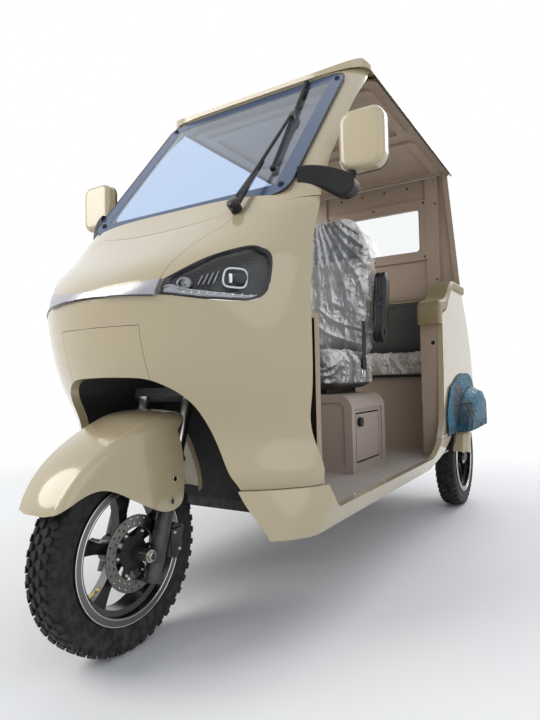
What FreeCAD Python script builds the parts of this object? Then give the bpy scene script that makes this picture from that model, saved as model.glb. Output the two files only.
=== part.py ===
import FreeCAD, Part
import math
import os
import re
from types import SimpleNamespace

import Sketcher
from FreeCAD import Placement, Rotation, Vector

# A closed-nose three-wheeled passenger rickshaw with open sides.
# Millimetres. The nose points to -Y, up is +Z and the vehicle's left side is +X.
# The origin is on the ground, midway along the length.

# Driving sizes, all in the sheet. A name that ends in _front or _rear is a distance
# behind the front axle, one that ends in _level is a height above the ground.
driving = {
    # whole vehicle
    "overall_length": 2400,
    "wheelbase": 1880,
    "roof_height": 1715,
    "body_half_width": 460,
    "rear_half_track": 380,
    # fits and clearances
    "seam_gap": 1.2,
    "touch_gap": 0.3,
    "moving_gap": 6,
    "overrun": 30,
    # body shell
    "panel_wall": 22,
    "rear_corner_radius": 75,
    "sill_seam_level": 385,
    "upper_seam_level": 1046,
    "shell_middle_rear": 960,
    "rear_panel_half_width": 372,
    "access_half_width": 133,
    "access_top_level": 779,
    "lamp_depth": 30,
    "lamp_wall_gap": 1,
    "strip_proud": 6,
    "arch_liner_wall": 4,
    "arch_liner_rear": 400,
    "stem_hole_radius": 36,
    "wheel_arch_radius": 292,
    # windscreen and roof
    "glass_thickness": 5,
    "glass_corner_radius": 55,
    "glass_seat": 9,
    "roof_sheet": 5,
    "roof_lip": 14,
    "roof_front": 640,
    "roof_rear": 1895,
    "roof_half_width": 414,
    "roof_corner_radius": 70,
    "lining_sheet": 8,
    "lining_bead": 11,
    "lining_gap": 6,
    "lining_margin": 34,
    "lining_setback": 170,
    "window_half_width": 248,
    "window_low_level": 1290,
    "window_high_level": 1520,
    "window_corner_radius": 22,
    "window_frame_width": 42,
    "window_frame_proud": 9,
    "window_glass": 5,
    "post_inner": 280,
    "post_outer": 345,
    "post_proud": 14,
    # floor, cabin walls and tub
    "floor_level": 306,
    "floor_sheet": 8,
    "floor_front": 412,
    "skin_clearance": 1.2,
    "shield_front": 482,
    "shield_wall": 12,
    "shield_half_width": 310,
    "shield_side_half_width": 440,
    "shield_side_front": 247,
    "floor_wing_front": 258,
    "shelf_level": 812,
    "shelf_front": 60,
    "liner_wall": 12,
    "liner_side_inset": 96,
    "bench_wall_front": 1588,
    "bench_deck_level": 640,
    "tub_arch_level": 560,
    "cap_edge_radius": 13,
    "cap_overlap": 3,
    "wheel_room_inner": 305,
    # chassis
    "rail_offset": 200,
    "rail_width": 50,
    "rail_depth": 50,
    "rail_front": 420,
    "rail_kick_front": 1630,
    "rail_kick_rise": 88,
    "rail_kick_run": 58,
    "rail_rear": 2085,
    "cross_width": 40,
    "cross_depth": 30,
    "outrigger_half_span": 401,
    "backbone_width": 60,
    "bumper_radius": 16,
    "bumper_half_width": 300,
    "bumper_level": 395,
    "bumper_bend_radius": 70,
    "rack_plate": 6,
    "rack_spacing_across": 120,
    "rack_spacing_up": 30,
    "rack_hole_radius": 4.5,
    "rack_margin": 14,
    # steering and fork
    "fork_rake": 18.9,
    "fork_offset": 47.5,
    "leg_offset": 80,
    "stanchion_radius": 15.5,
    "slider_radius": 21,
    "slider_top_reach": 240,
    "slider_foot_reach": 62,
    "clamp_reach": 412,
    "clamp_thickness": 24,
    "clamp_depth": 52,
    "clamp_overhang": 28,
    "stem_radius": 14,
    "head_tube_low_reach": 470,
    "head_tube_high_reach": 600,
    "head_tube_wall": 9,
    "stem_top_reach": 742,
    "axle_radius": 7.5,
    "axle_nut_radius": 14,
    "axle_nut_length": 12,
    # handlebar
    "bar_radius": 11,
    "bar_half_width": 300,
    "bar_rise": 90,
    "bar_setback": 100,
    "bar_sweep": 45,
    "bar_middle": 90,
    "grip_radius": 16,
    "grip_length": 120,
    "lever_radius": 5,
    "lever_gap": 34,
    "pod_radius": 62,
    "pod_depth": 46,
    # wheels
    "tyre_radius": 238,
    "tyre_width": 92,
    "bead_radius": 152,
    "rim_lip_radius": 168,
    "rim_width": 78,
    "rim_wall": 5,
    "rim_well_radius": 134,
    "rim_well_width": 34,
    "spoke_count": 5,
    "spoke_depth": 26,
    "spoke_root_width": 34,
    "spoke_waist_width": 26,
    "spoke_tip_width": 50,
    "hub_radius": 34,
    "hub_length": 84,
    "disc_radius": 91,
    "disc_sheet": 4,
    "disc_ring_inner": 62,
    "disc_plane": 51.5,
    "disc_window_radius": 11,
    "drum_radius": 84,
    "drum_length": 40,
    # front fender and brake
    "fender_sheet": 3,
    "fender_hole_radius": 6,
    "fender_corner_radius": 27,
    "fender_crown": 6,
    "caliper_depth": 44,
    "caliper_inner": 36,
    "caliper_outer": 94,
    "caliper_slot": 8,
    "caliper_height": 84,
    # rear axle and springs
    "axle_tube_radius": 30,
    "motor_radius": 86,
    "motor_half_length": 92,
    "case_radius": 70,
    "case_half_length": 150,
    "axle_stub_radius": 15,
    "spring_offset": 262,
    "spring_width": 46,
    "spring_leaf": 8,
    "spring_leaves": 3,
    "spring_half_span": 185,
    "spring_camber": 25,
    "spring_eye_radius": 15,
    "spring_pad": 10,
    "hanger_width": 8,
    # rear fenders and their covers
    "fender_flare": 52,
    "flare_radius": 322,
    "flare_wall": 5,
    "cover_sheet": 5,
    "cover_gap": 4,
    # seats
    "seat_box_front": 834,
    "seat_box_length": 334,
    "seat_box_half_width": 270,
    "seat_box_height": 282,
    "seat_box_wall": 6,
    "seat_box_corner": 55,
    "seat_box_recess": 7,
    "seat_box_margin": 30,
    "door_gap": 5.5,
    "door_sheet": 5,
    "latch_radius": 17,
    "latch_depth": 12,
    "battery_length": 240,
    "battery_half_width": 215,
    "battery_height": 190,
    "bracket_height": 26,
    "bracket_rail": 34,
    "bracket_half_width": 160,
    "cushion_half_width": 238,
    "cushion_length": 360,
    "cushion_front": 800,
    "cushion_thickness": 122,
    "cushion_edge_radius": 38,
    "seat_back_height": 585,
    "seat_back_thickness": 96,
    "seat_back_lean": 10,
    "seat_back_top_half_width": 150,
    "seat_back_front": 1062,
    "armrest_offset": 279,
    "armrest_width": 46,
    "armrest_length": 262,
    "armrest_depth": 72,
    "armrest_pivot_level": 818,
    "armrest_pivot_front": 1122,
    "armrest_pin_radius": 9,
    "bench_front": 1566,
    "bench_length": 250,
    "bench_thickness": 104,
    "bench_half_width": 350,
    "bench_back_height": 285,
    "bench_back_thickness": 52,
    "bench_back_front": 1746,
    "bench_back_lean": 9,
    # mirrors and wiper
    "mirror_offset": 508,
    "mirror_front": 398,
    "mirror_level": 1281,
    "mirror_half_height": 82,
    "mirror_half_width": 64,
    "mirror_depth": 46,
    "mirror_arm_edge": 9,
    "mirror_neck_radius": 13,
    "mirror_neck_offset": 476,
    "wiper_root": 252,
    "wiper_arm_length": 480,
    "wiper_arm_radius": 5,
    "wiper_blade_length": 530,
    "wiper_blade_width": 12,
    "wiper_boss_radius": 15,
    "wiper_boss_height": 30,
    # tail lamps
    "tail_lamp_level": 760,
    "tail_lamp_height": 150,
    "tail_lamp_width": 62,
    "tail_lamp_offset": 300,
    "tail_lamp_proud": 12,
}

doc = FreeCAD.newDocument("rickshaw")
sheet = doc.addObject("Spreadsheet::Sheet", "Sizes")
for row, (name, value) in enumerate(driving.items(), start=1):
    sheet.set("A%d" % row, name)
    sheet.set("B%d" % row, str(value))
    sheet.setAlias("B%d" % row, name)
doc.recompute()
size = SimpleNamespace(**{name: float(sheet.get(name)) for name in driving})

front_axle_y = size.tyre_radius - size.overall_length / 2
rear_axle_y = front_axle_y + size.wheelbase
axle_z = size.tyre_radius
subparts = []


def along(share):
    return front_axle_y + share * size.wheelbase


def up(share):
    return share * size.roof_height


def across(share):
    return share * size.body_half_width


def behind(distance):
    return front_axle_y + distance


# Helpers for the document's objects

def cells(text):
    return re.sub(r"[a-z_]{3,}", lambda word: "Sizes." + word.group(0)
                  if word.group(0) in driving else word.group(0), text)


def bind(item, prop, text):
    item.setExpression(prop, cells(text))


def keep(item, label):
    item.Label = label
    subparts.append(item)
    return item


def keep_shape(label, shape):
    item = doc.addObject("Part::Feature", label)
    item.Shape = shape
    return keep(item, label)


def bound_box(name, spans, corner):
    """Part::Box with its three spans and its corner bound to the sheet."""
    box = doc.addObject("Part::Box", name)
    for prop, text in zip(("Length", "Width", "Height"), spans):
        bind(box, prop, text)
    for letter, text in zip("xyz", corner):
        bind(box, "Placement.Base." + letter, text)
    return box


def new_body(label):
    return keep(doc.addObject("PartDesign::Body", label), label)


def new_sketch(body, name, role):
    sketch = body.newObject("Sketcher::SketchObject", name)
    plane = [item for item in body.Origin.OriginFeatures if item.Role == role][0]
    sketch.AttachmentSupport = (plane, [""])
    sketch.MapMode = "FlatFace"
    return sketch


def draw_outline(sketch, points):
    """Closed outline of straight lines through the points."""
    corners = [Vector(first, second, 0) for first, second in points]
    for here, there in zip(corners, corners[1:] + corners[:1]):
        sketch.addGeometry(Part.LineSegment(here, there), False)


def draw_circle(sketch, text, centre=(0, 0)):
    """Circle whose radius follows the sheet."""
    place = Vector(centre[0], centre[1], 0)
    index = sketch.addGeometry(Part.Circle(place, Vector(0, 0, 1), size.hub_radius), False)
    number = sketch.addConstraint(Sketcher.Constraint("Radius", index, size.hub_radius))
    sketch.setExpression("Constraints[%d]" % number, cells(text))


def revolve_profile(body, name, points):
    """Solid of revolution about the body's own X axis."""
    sketch = new_sketch(body, name + "_profile", "XY_Plane")
    draw_outline(sketch, points)
    turn = body.newObject("PartDesign::Revolution", name)
    turn.Profile = (sketch, [""])
    turn.ReferenceAxis = (sketch, ["H_Axis"])
    turn.Angle = 360
    return turn


# Helpers for outlines and solids

def curve_edges(segments, place):
    """Edges through chained segments: two points make a line, more make a spline."""
    edges = []
    for segment in segments:
        points = [place(first, second) for first, second in segment]
        if len(points) == 2:
            edges.append(Part.makeLine(points[0], points[1]))
        else:
            curve = Part.BSplineCurve()
            curve.interpolate(points)
            edges.append(curve.toShape())
    return edges


def prism(segments, place, direction):
    wire = Part.Wire(curve_edges(segments, place))
    return Part.Face(wire).extrude(direction)


def side_prism(segments, low, high):
    """Outline in (y, z), extruded across the vehicle from x = low to x = high."""
    return prism(segments, lambda y, z: Vector(low, y, z), Vector(high - low, 0, 0))


def front_prism(segments, low, high):
    """Outline in (x, z), extruded along the vehicle from y = low to y = high."""
    return prism(segments, lambda x, z: Vector(x, low, z), Vector(0, high - low, 0))


def plan_prism(segments, low, high):
    """Outline in (x, y), extruded upwards from z = low to z = high."""
    return prism(segments, lambda x, y: Vector(x, y, low), Vector(0, 0, high - low))


def polygon(points):
    """Segments of a closed outline of straight lines."""
    return [[here, there] for here, there in zip(points, points[1:] + points[:1])]


def block(x_low, x_high, y_low, y_high, z_low, z_high):
    corner = Vector(x_low, y_low, z_low)
    return Part.makeBox(x_high - x_low, y_high - y_low, z_high - z_low, corner)


def rod(start, end, radius):
    return Part.makeCylinder(radius, (end - start).Length, start, end - start)


def bent_tube(points, radius, bend):
    """Round tube along straight runs joined by tangent arcs."""
    edges = []
    here = points[0]
    for before, corner, after in zip(points, points[1:], points[2:]):
        inward = (before - corner).normalize()
        outward = (after - corner).normalize()
        half = inward.getAngle(outward) / 2
        reach = bend / math.tan(half)
        start = corner + inward * reach
        end = corner + outward * reach
        middle_line = (inward + outward).normalize()
        middle = corner + middle_line * (bend / math.sin(half) - bend)
        edges.append(Part.makeLine(here, start))
        edges.append(Part.Arc(start, middle, end).toShape())
        here = end
    edges.append(Part.makeLine(here, points[-1]))
    path = Part.Wire(edges)
    ring = Part.Wire(Part.makeCircle(radius, points[0], points[1] - points[0]))
    return path.makePipeShell([ring], True, False)


def joined(shapes):
    whole = shapes[0].multiFuse(shapes[1:])
    return whole.removeSplitter()


def mirrored(shape):
    return shape.mirror(Vector(0, 0, 0), Vector(1, 0, 0))


def both_sides(shape):
    return Part.makeCompound([shape, mirrored(shape)])


def largest(shape):
    return max(shape.Solids, key=lambda solid: solid.Volume)


def rounded_plan(half_width, low, high, radius):
    """Rounded rectangle as a list of corner points for a filleted prism."""
    return [(-half_width + radius, low), (half_width - radius, low),
            (half_width, low + radius), (half_width, high - radius),
            (half_width - radius, high), (-half_width + radius, high),
            (-half_width, high - radius), (-half_width, low + radius)]


def rounded_edges(half_width, low, high, radius, place):
    """Rounded rectangle wire of four lines and four arcs."""
    turn = radius * (1 - math.sqrt(0.5))
    p = rounded_plan(half_width, low, high, radius)
    bends = [(half_width - turn, low + turn), (half_width - turn, high - turn),
             (-half_width + turn, high - turn), (-half_width + turn, low + turn)]
    edges = []
    for index in range(4):
        start, end = p[2 * index], p[2 * index + 1]
        after = p[(2 * index + 2) % 8]
        edges.append(Part.makeLine(place(*start), place(*end)))
        edges.append(Part.Arc(place(*end), place(*bends[index]), place(*after)).toShape())
    return edges


def rounded_prism(half_width, low, high, radius, place, direction):
    wire = Part.Wire(rounded_edges(half_width, low, high, radius, place))
    return Part.Face(wire).extrude(direction)


# Body form: one outer skin from sill to roof, cut into panels along the real seams.
# Each level: height, nose tip, nose depth, half width, roundness, tail, as shares of
# the roof height, the wheelbase, the wheelbase, the half width and the wheelbase.

body_level_shares = [
    (0.157, 0.024, 0.112, 0.924, 2.0, 1.085),
    (0.192, 0.021, 0.144, 0.974, 2.0, 1.090),
    (0.245, 0.018, 0.191, 0.996, 2.0, 1.096),
    (0.292, 0.014, 0.223, 1.000, 2.0, 1.096),
    (0.327, 0.002, 0.239, 1.000, 2.0, 1.093),
    (0.367, -0.018, 0.239, 1.000, 2.0, 1.085),
    (0.408, -0.032, 0.239, 1.000, 2.0, 1.076),
    (0.461, -0.043, 0.239, 1.000, 2.0, 1.061),
    (0.501, -0.045, 0.236, 1.000, 2.0, 1.045),
    (0.525, -0.029, 0.222, 0.998, 2.2, 1.035),
    (0.554, 0.004, 0.198, 0.994, 2.5, 1.022),
    (0.583, 0.038, 0.176, 0.988, 2.8, 1.012),
    (0.618, 0.077, 0.154, 0.980, 3.2, 1.003),
    (0.655, 0.111, 0.136, 0.970, 3.6, 1.000),
    (0.729, 0.169, 0.114, 0.949, 4.2, 1.000),
    (0.845, 0.257, 0.097, 0.914, 4.6, 1.000),
    (0.974, 0.3535, 0.090, 0.876, 5.0, 1.000),
]
nose_steps = 10
nose_fine_steps = 300
level_step_share = 0.036
middle_y = behind(size.shell_middle_rear)
body_low = body_level_shares[0][0]
body_high = body_level_shares[-1][0]
roof_notch_share = 0.93


def steady(column, height):
    """Value of one column of the table at a height, with no overshoot between rows."""
    rows = body_level_shares
    spans = [high[0] - low[0] for low, high in zip(rows, rows[1:])]
    rises = [(high[column] - low[column]) / span for low, high, span in
             zip(rows, rows[1:], spans)]
    slopes = [rises[0]]
    for low, high in zip(rises, rises[1:]):
        slopes.append(0 if low * high <= 0 else 2 * low * high / (low + high))
    slopes.append(rises[-1])
    index = 0
    while index < len(spans) - 1 and height > rows[index + 1][0]:
        index += 1
    part = (height - rows[index][0]) / spans[index]
    start, end = rows[index][column], rows[index + 1][column]
    return ((1 + 2 * part) * (1 - part) ** 2 * start + part ** 2 * (3 - 2 * part) * end
            + spans[index] * part * (1 - part) ** 2 * slopes[index]
            - spans[index] * part ** 2 * (1 - part) * slopes[index + 1])


def nose_lean(height):
    """Length along the nose for one unit of height, which tells its wall from its slope."""
    step_share = 0.01
    low = max(height - step_share, body_level_shares[0][0])
    high = min(height + step_share, body_level_shares[-1][0])
    run = along(steady(1, high)) - along(steady(1, low))
    return math.hypot(1, run / (up(high) - up(low)))


def nose_points(height, inset):
    """Evenly spaced points of the nose curve at one height, from its left side to its tip."""
    tip, depth, half, roundness = [steady(column, height) for column in range(1, 5)]
    nose_y = along(tip) + inset * nose_lean(height)
    side_y = along(tip + depth)
    half_x = across(half) - inset
    fine = []
    for step in range(nose_fine_steps + 1):
        angle = math.pi / 2 * step / nose_fine_steps
        fine.append((math.cos(angle) ** (2 / roundness) * half_x,
                     side_y - (side_y - nose_y) * math.sin(angle) ** (2 / roundness)))
    reach = [0]
    for here, there in zip(fine, fine[1:]):
        reach.append(reach[-1] + math.dist(here, there))
    points, index = [], 0
    for step in range(nose_steps):
        goal = reach[-1] * step / nose_steps
        while reach[index + 1] <= goal:
            index += 1
        part = (goal - reach[index]) / (reach[index + 1] - reach[index])
        x, y = [start + part * (end - start) for start, end in
                zip(fine[index], fine[index + 1])]
        points.append(Vector(-x, y, up(height)))
    return points + [Vector(0, nose_y, up(height))]


def nose_runs(left, halves):
    """Runs of the front body from its left points: one nose curve, or one each side."""
    right = [Vector(-point.x, point.y, point.z) for point in reversed(left)]
    rear_left = Vector(left[0].x, middle_y, left[0].z)
    rear_right = Vector(-left[0].x, middle_y, left[0].z)
    noses = [("nose", left), ("nose", right)] if halves else [("nose", left + right[1:])]
    return [("line", [rear_left, left[0]])] + noses + [("line", [right[-1], rear_right])]


def nose_chain(height, inset):
    """Runs of the front body at one height, from its left side round to its right side."""
    return nose_runs(nose_points(height, inset), False)


def split_nose_chain(height, inset):
    return nose_runs(nose_points(height, inset), True)


def tail_chain(height, inset):
    """Runs of the rear body at one height, from its right side round to its left side."""
    half_x = across(steady(3, height)) - inset
    tail_y = along(steady(5, height)) - inset
    corner = size.rear_corner_radius - inset
    turn = corner * (1 - math.sqrt(0.5))
    z = up(height)
    right = [Vector(half_x, middle_y, z), Vector(half_x, tail_y - corner, z),
             Vector(half_x - turn, tail_y - turn, z), Vector(half_x - corner, tail_y, z)]
    left = [Vector(-point.x, point.y, z) for point in right]
    return [("line", right[:2]), ("arc", right[1:]), ("line", [right[3], left[3]]),
            ("arc", [left[3], left[2], left[1]]), ("line", [left[1], left[0]])]


def turned(chain):
    """The same runs in the other direction."""
    return [(kind, points[::-1]) for kind, points in reversed(chain)]


def run_edge(kind, points):
    if kind == "arc":
        return Part.Arc(*points).toShape()
    if kind == "nose":
        sideways = Vector(math.copysign(1, points[-1].x - points[0].x), 0, 0)
        start, end = [sideways if abs(point.x) < size.touch_gap else fallback
                      for point, fallback in ((points[0], Vector(0, -1, 0)),
                                              (points[-1], Vector(0, 1, 0)))]
        curve = Part.BSplineCurve()
        curve.interpolate(points, InitialTangent=start, FinalTangent=end)
        return curve.toShape()
    return Part.makeLine(*points)


def ring_wire(chains):
    """Closed wire of the chains, with a straight line from each to the next."""
    edges = []
    for chain, after in zip(chains, chains[1:] + chains[:1]):
        edges += [run_edge(kind, points) for kind, points in chain]
        edges.append(Part.makeLine(chain[-1][1][-1], after[0][1][0]))
    return Part.Wire(edges)


def heights_between(low, high):
    count = max(3, round((high - low) / level_step_share) + 1)
    return [low + (high - low) * step / (count - 1) for step in range(count)]


def wall_band(chain_at, low, high, outside=0, inside=None):
    """Wall of the body between two heights, between two insets of its form."""
    inside = size.panel_wall if inside is None else inside
    wires = [ring_wire([chain_at(height, outside), turned(chain_at(height, inside))])
             for height in heights_between(low, high)]
    return Part.makeLoft(wires, True, False)


def solid_form(chain_at, low, high, inset):
    """Solid body between two heights, moved inwards by inset."""
    return Part.makeLoft([ring_wire([chain_at(height, inset)])
                          for height in heights_between(low, high)], True, False)


# Side opening, in the side view: down the front post, along the sill, up the tub's
# front post, over its cap and along its rail, and open at the top.
door_front_shares = [(0.402, 0.975), (0.395, 0.965), (0.360, 0.925), (0.304, 0.861),
                     (0.248, 0.786), (0.216, 0.743), (0.164, 0.656), (0.139, 0.605),
                     (0.120, 0.555), (0.115, 0.478), (0.127, 0.356), (0.145, 0.245)]
door_sill_shares = [(0.145, 0.245), (0.152, 0.212), (0.164, 0.194), (0.184, 0.186)]
door_foot_shares = [(0.640, 0.184), (0.682, 0.196), (0.708, 0.228), (0.727, 0.300),
                    (0.734, 0.380)]
door_tub_shares = [(0.737, 0.525), (0.745, 0.533), (0.768, 0.540), (0.835, 0.594),
                   (0.850, 0.603), (0.872, 0.606)]
door_rear_share = 0.976
door_top_share = 1.05


def shares_to_side(points):
    return [(along(y), up(z)) for y, z in points]


door_segments = [shares_to_side(part) for part in (
    door_front_shares, door_sill_shares,
    [door_sill_shares[-1], door_foot_shares[0]], door_foot_shares,
    [door_foot_shares[-1], door_tub_shares[0]], door_tub_shares,
    [door_tub_shares[-1], (door_rear_share, door_tub_shares[-1][1])],
    [(door_rear_share, door_tub_shares[-1][1]), (door_rear_share, door_top_share)],
    [(door_rear_share, door_top_share), (door_front_shares[0][0], door_top_share)],
    [(door_front_shares[0][0], door_top_share), door_front_shares[0]])]
wide = size.body_half_width + size.overrun
door_cut = side_prism(door_segments, -wide, wide)

# Front wheel arch in the front view, from its top centre to the sill.
arch_crown_shares = [(-0.276, 0.382), (-0.174, 0.385), (0.000, 0.386), (0.174, 0.385),
                     (0.276, 0.382), (0.357, 0.373), (0.426, 0.359), (0.463, 0.344),
                     (0.483, 0.327), (0.530, 0.282), (0.600, 0.234), (0.674, 0.197),
                     (0.728, 0.176), (0.772, 0.150)]
arch_low_share = 0.12


def arch_segments(grow):
    """Arch outline, moved outwards by grow."""
    right = [(across(x), up(z)) for x, z in arch_crown_shares if x >= 0]
    moved = []
    for index, (x, z) in enumerate(right):
        before = right[max(index - 1, 0)]
        after = right[min(index + 1, len(right) - 1)]
        run, rise = after[0] - before[0], after[1] - before[1]
        length = math.hypot(run, rise)
        moved.append((x - grow * rise / length, z + grow * run / length))
    left = [(-x, z) for x, z in reversed(moved[1:])]
    curve = left + moved
    low = up(arch_low_share)
    return [curve, [curve[-1], (curve[-1][0], low)], [(curve[-1][0], low), (curve[0][0], low)],
            [(curve[0][0], low), curve[0]]]


arch_rear = behind(size.arch_liner_rear)
arch_front = front_axle_y - size.tyre_radius
arch_cut = front_prism(arch_segments(0), arch_front, arch_rear)

# Belly: the underside sweeps up from the sill to behind the rear wheels.
belly_shares = [(0.640, 0.100), (0.680, 0.163), (0.730, 0.180), (0.775, 0.208),
                (0.810, 0.240)]
belly_tail_share = 1.15
belly_tail_level_share = 0.228
belly_cut = side_prism([
    shares_to_side(belly_shares),
    shares_to_side([belly_shares[-1], (belly_tail_share, belly_tail_level_share)]),
    shares_to_side([(belly_tail_share, belly_tail_level_share),
                    (belly_tail_share, belly_shares[0][1])]),
    shares_to_side([(belly_tail_share, belly_shares[0][1]), belly_shares[0]])],
    -wide, wide)
wheel_cut = Part.makeCylinder(size.wheel_arch_radius, wide - size.wheel_room_inner,
                              Vector(size.wheel_room_inner, rear_axle_y, axle_z),
                              Vector(1, 0, 0))
wheel_cut = both_sides(wheel_cut)

# Seams that split the skin into panels.
upper_seam_shares = [(0.000, 0.613), (0.324, 0.619), (0.511, 0.628), (0.737, 0.638),
                     (0.846, 0.648), (1.022, 0.665)]
half_seam = size.seam_gap / 2
nose_start = along(-0.2)
tail_end = along(1.3)


def seam_points(shift):
    right = [(across(x), up(z) + shift) for x, z in upper_seam_shares]
    return [(-x, z) for x, z in reversed(right[1:])] + right


def above_seam():
    line = seam_points(half_seam)
    high = up(door_top_share)
    segments = [line, [line[-1], (line[-1][0], high)], [(line[-1][0], high), (line[0][0], high)],
                [(line[0][0], high), line[0]]]
    return front_prism(segments, nose_start, middle_y)


def below_seam():
    line = seam_points(-half_seam)
    low = size.sill_seam_level + half_seam
    segments = [line, [line[-1], (line[-1][0], low)], [(line[-1][0], low), (line[0][0], low)],
                [(line[0][0], low), line[0]]]
    return front_prism(segments, nose_start, middle_y)


# Headlamps and the light strip that joins them, in the front view.
lamp_shares = [(0.402, 0.493), (0.585, 0.486), (0.717, 0.483), (0.772, 0.484),
               (0.813, 0.493), (0.835, 0.514), (0.839, 0.536), (0.826, 0.550),
               (0.789, 0.559), (0.743, 0.562), (0.672, 0.557), (0.580, 0.546),
               (0.500, 0.531), (0.417, 0.515)]
lamp_low_count = 4
strip_low_shares = [(-0.398, 0.491), (-0.217, 0.493), (0.000, 0.495), (0.217, 0.493),
                    (0.398, 0.491)]
strip_high_shares = [(0.413, 0.515), (0.341, 0.512), (0.217, 0.508), (0.109, 0.506),
                     (0.000, 0.505), (-0.109, 0.506), (-0.217, 0.508), (-0.341, 0.512),
                     (-0.413, 0.515)]


def front_points(points):
    return [(across(x), up(z)) for x, z in points]


def lamp_prism(shrink):
    """One headlamp's outline, moved inwards by shrink, as a prism along the vehicle."""
    corners = front_points(lamp_shares)
    middle_x = sum(x for x, z in corners) / len(corners)
    middle_z = sum(z for x, z in corners) / len(corners)
    moved = []
    for x, z in corners:
        away = math.hypot(x - middle_x, z - middle_z)
        ratio = 1 - shrink / away
        moved.append((middle_x + (x - middle_x) * ratio, middle_z + (z - middle_z) * ratio))
    low = moved[:lamp_low_count]
    high = moved[lamp_low_count - 1:]
    return front_prism([low, high, [high[-1], low[0]]], nose_start, middle_y)


def strip_prism(shrink):
    narrow = 1 - 2 * shrink / across(strip_high_shares[0][0])
    low = [(x * narrow, z + shrink) for x, z in front_points(strip_low_shares)]
    high = [(x * narrow, z - shrink) for x, z in front_points(strip_high_shares)]
    return front_prism([low, [low[-1], high[0]], high, [high[-1], low[0]]],
                       nose_start, middle_y)


lamp_left = lamp_prism(0)
lamp_cuts = [lamp_left, mirrored(lamp_left), strip_prism(0)]

# Bonnet panel: between the strip and the upper seam, inside two creases that run in
# towards the lamps.
crease_shares = [(0.600, 0.645), (0.562, 0.632), (0.520, 0.603), (0.465, 0.586),
                 (0.430, 0.566), (0.410, 0.541), (0.395, 0.512), (0.392, 0.500)]


def hood_region(grow):
    right = [(across(x) + grow, up(z)) for x, z in crease_shares]
    left = [(-x, z) for x, z in reversed(right)]
    return front_prism([right, [right[-1], left[0]], left, [left[-1], right[0]]],
                       nose_start, middle_y)


access_region = block(-size.access_half_width, size.access_half_width, nose_start, middle_y,
                      size.sill_seam_level, size.access_top_level)
access_hole = block(-size.access_half_width - size.seam_gap,
                    size.access_half_width + size.seam_gap, nose_start, middle_y,
                    size.sill_seam_level - size.overrun, size.access_top_level + size.seam_gap)

sill_share = size.sill_seam_level / size.roof_height
upper_share = size.upper_seam_level / size.roof_height
seam_high_share = upper_seam_shares[-1][1]
lap_share = size.overrun / size.roof_height

nose_skin = wall_band(nose_chain, sill_share - lap_share, seam_high_share + lap_share)
nose_skin = nose_skin.cut(door_cut).cut(arch_cut).common(below_seam())
nose_fairing = nose_skin.cut(hood_region(half_seam)).cut(access_hole)
hood_panel = nose_skin.common(hood_region(-half_seam))
access_panel = largest(nose_skin.common(access_region))
for cutter in lamp_cuts:
    hood_panel = hood_panel.cut(cutter)
    nose_fairing = nose_fairing.cut(cutter)
keep_shape("nose_fairing", largest(nose_fairing))
keep_shape("hood_panel", largest(hood_panel))
keep_shape("nose_access_panel", access_panel)

lamp_low_share = min(level for share, level in lamp_shares) - lap_share
lamp_high_share = max(level for share, level in lamp_shares) + lap_share
lamp_wall = wall_band(nose_chain, lamp_low_share, lamp_high_share, 0, size.lamp_depth)
keep_shape("headlamps", both_sides(largest(lamp_wall.common(lamp_prism(size.lamp_wall_gap)))))
strip_wall = wall_band(nose_chain, lamp_low_share, lamp_high_share, -size.strip_proud)
keep_shape("light_strip", largest(strip_wall.common(strip_prism(size.lamp_wall_gap))))

# Sills: the lowest band, from the front arch to the sweep before the rear wheels.
sill_top = size.sill_seam_level - half_seam
sill_front = wall_band(split_nose_chain, body_low, sill_share + lap_share).cut(arch_cut)
sill_rear = wall_band(tail_chain, body_low, sill_share + lap_share).cut(belly_cut).cut(wheel_cut)
tall = block(-wide, wide, nose_start, tail_end, 0, sill_top)
sill_left = []
for wall in (sill_front, sill_rear):
    trimmed = wall.common(tall).cut(door_cut)
    sill_left.append([solid for solid in trimmed.Solids if solid.CenterOfMass.x > 0
                      and solid.BoundBox.YMin < rear_axle_y - size.wheel_arch_radius])
sill_left = joined([max(group, key=lambda solid: solid.Volume) for group in sill_left])
keep_shape("side_sills", both_sides(sill_left))

# Tub: two quarter panels and the panel between them at the rear.
rear_split = size.rear_panel_half_width
tail_start = along(0.9)
tub_wall = wall_band(tail_chain, sill_share - lap_share, upper_share + lap_share)
tub_wall = tub_wall.common(block(-wide, wide, nose_start, tail_end,
                                 size.sill_seam_level + half_seam,
                                 size.upper_seam_level - half_seam))
tub_wall = tub_wall.cut(belly_cut).cut(wheel_cut)
rear_panel = tub_wall.common(block(-rear_split + half_seam, rear_split - half_seam,
                                   tail_start, tail_end, 0, size.upper_seam_level))
quarter = tub_wall.cut(door_cut).cut(block(-rear_split - half_seam, rear_split + half_seam,
                                           tail_start, tail_end, 0, size.roof_height))
keep_shape("quarter_panels",
           both_sides(largest(quarter.common(block(0, wide, middle_y, tail_end,
                                                   0, size.roof_height)))))

# Tail lamps stand in pockets of the rear panel's corners.


def tail_lamp_block(grow):
    return block(size.tail_lamp_offset - grow,
                 size.tail_lamp_offset + size.tail_lamp_width + grow,
                 tail_start, tail_end, size.tail_lamp_level - grow,
                 size.tail_lamp_level + size.tail_lamp_height + grow)


tail_lamp_wall = wall_band(tail_chain, sill_share, upper_share, -size.tail_lamp_proud)
tail_lamp = largest(tail_lamp_wall.common(tail_lamp_block(0)))
pocket = tail_lamp_block(size.touch_gap)
rear_panel = rear_panel.cut(pocket.fuse(mirrored(pocket)))
arm_room = rod(Vector(size.bumper_half_width, tail_start, size.bumper_level),
               Vector(size.bumper_half_width, tail_end, size.bumper_level),
               size.bumper_radius + size.moving_gap / 2)
keep_shape("rear_panel", largest(rear_panel.cut(arm_room.fuse(mirrored(arm_room)))))
keep_shape("tail_lamps", both_sides(tail_lamp))

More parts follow.
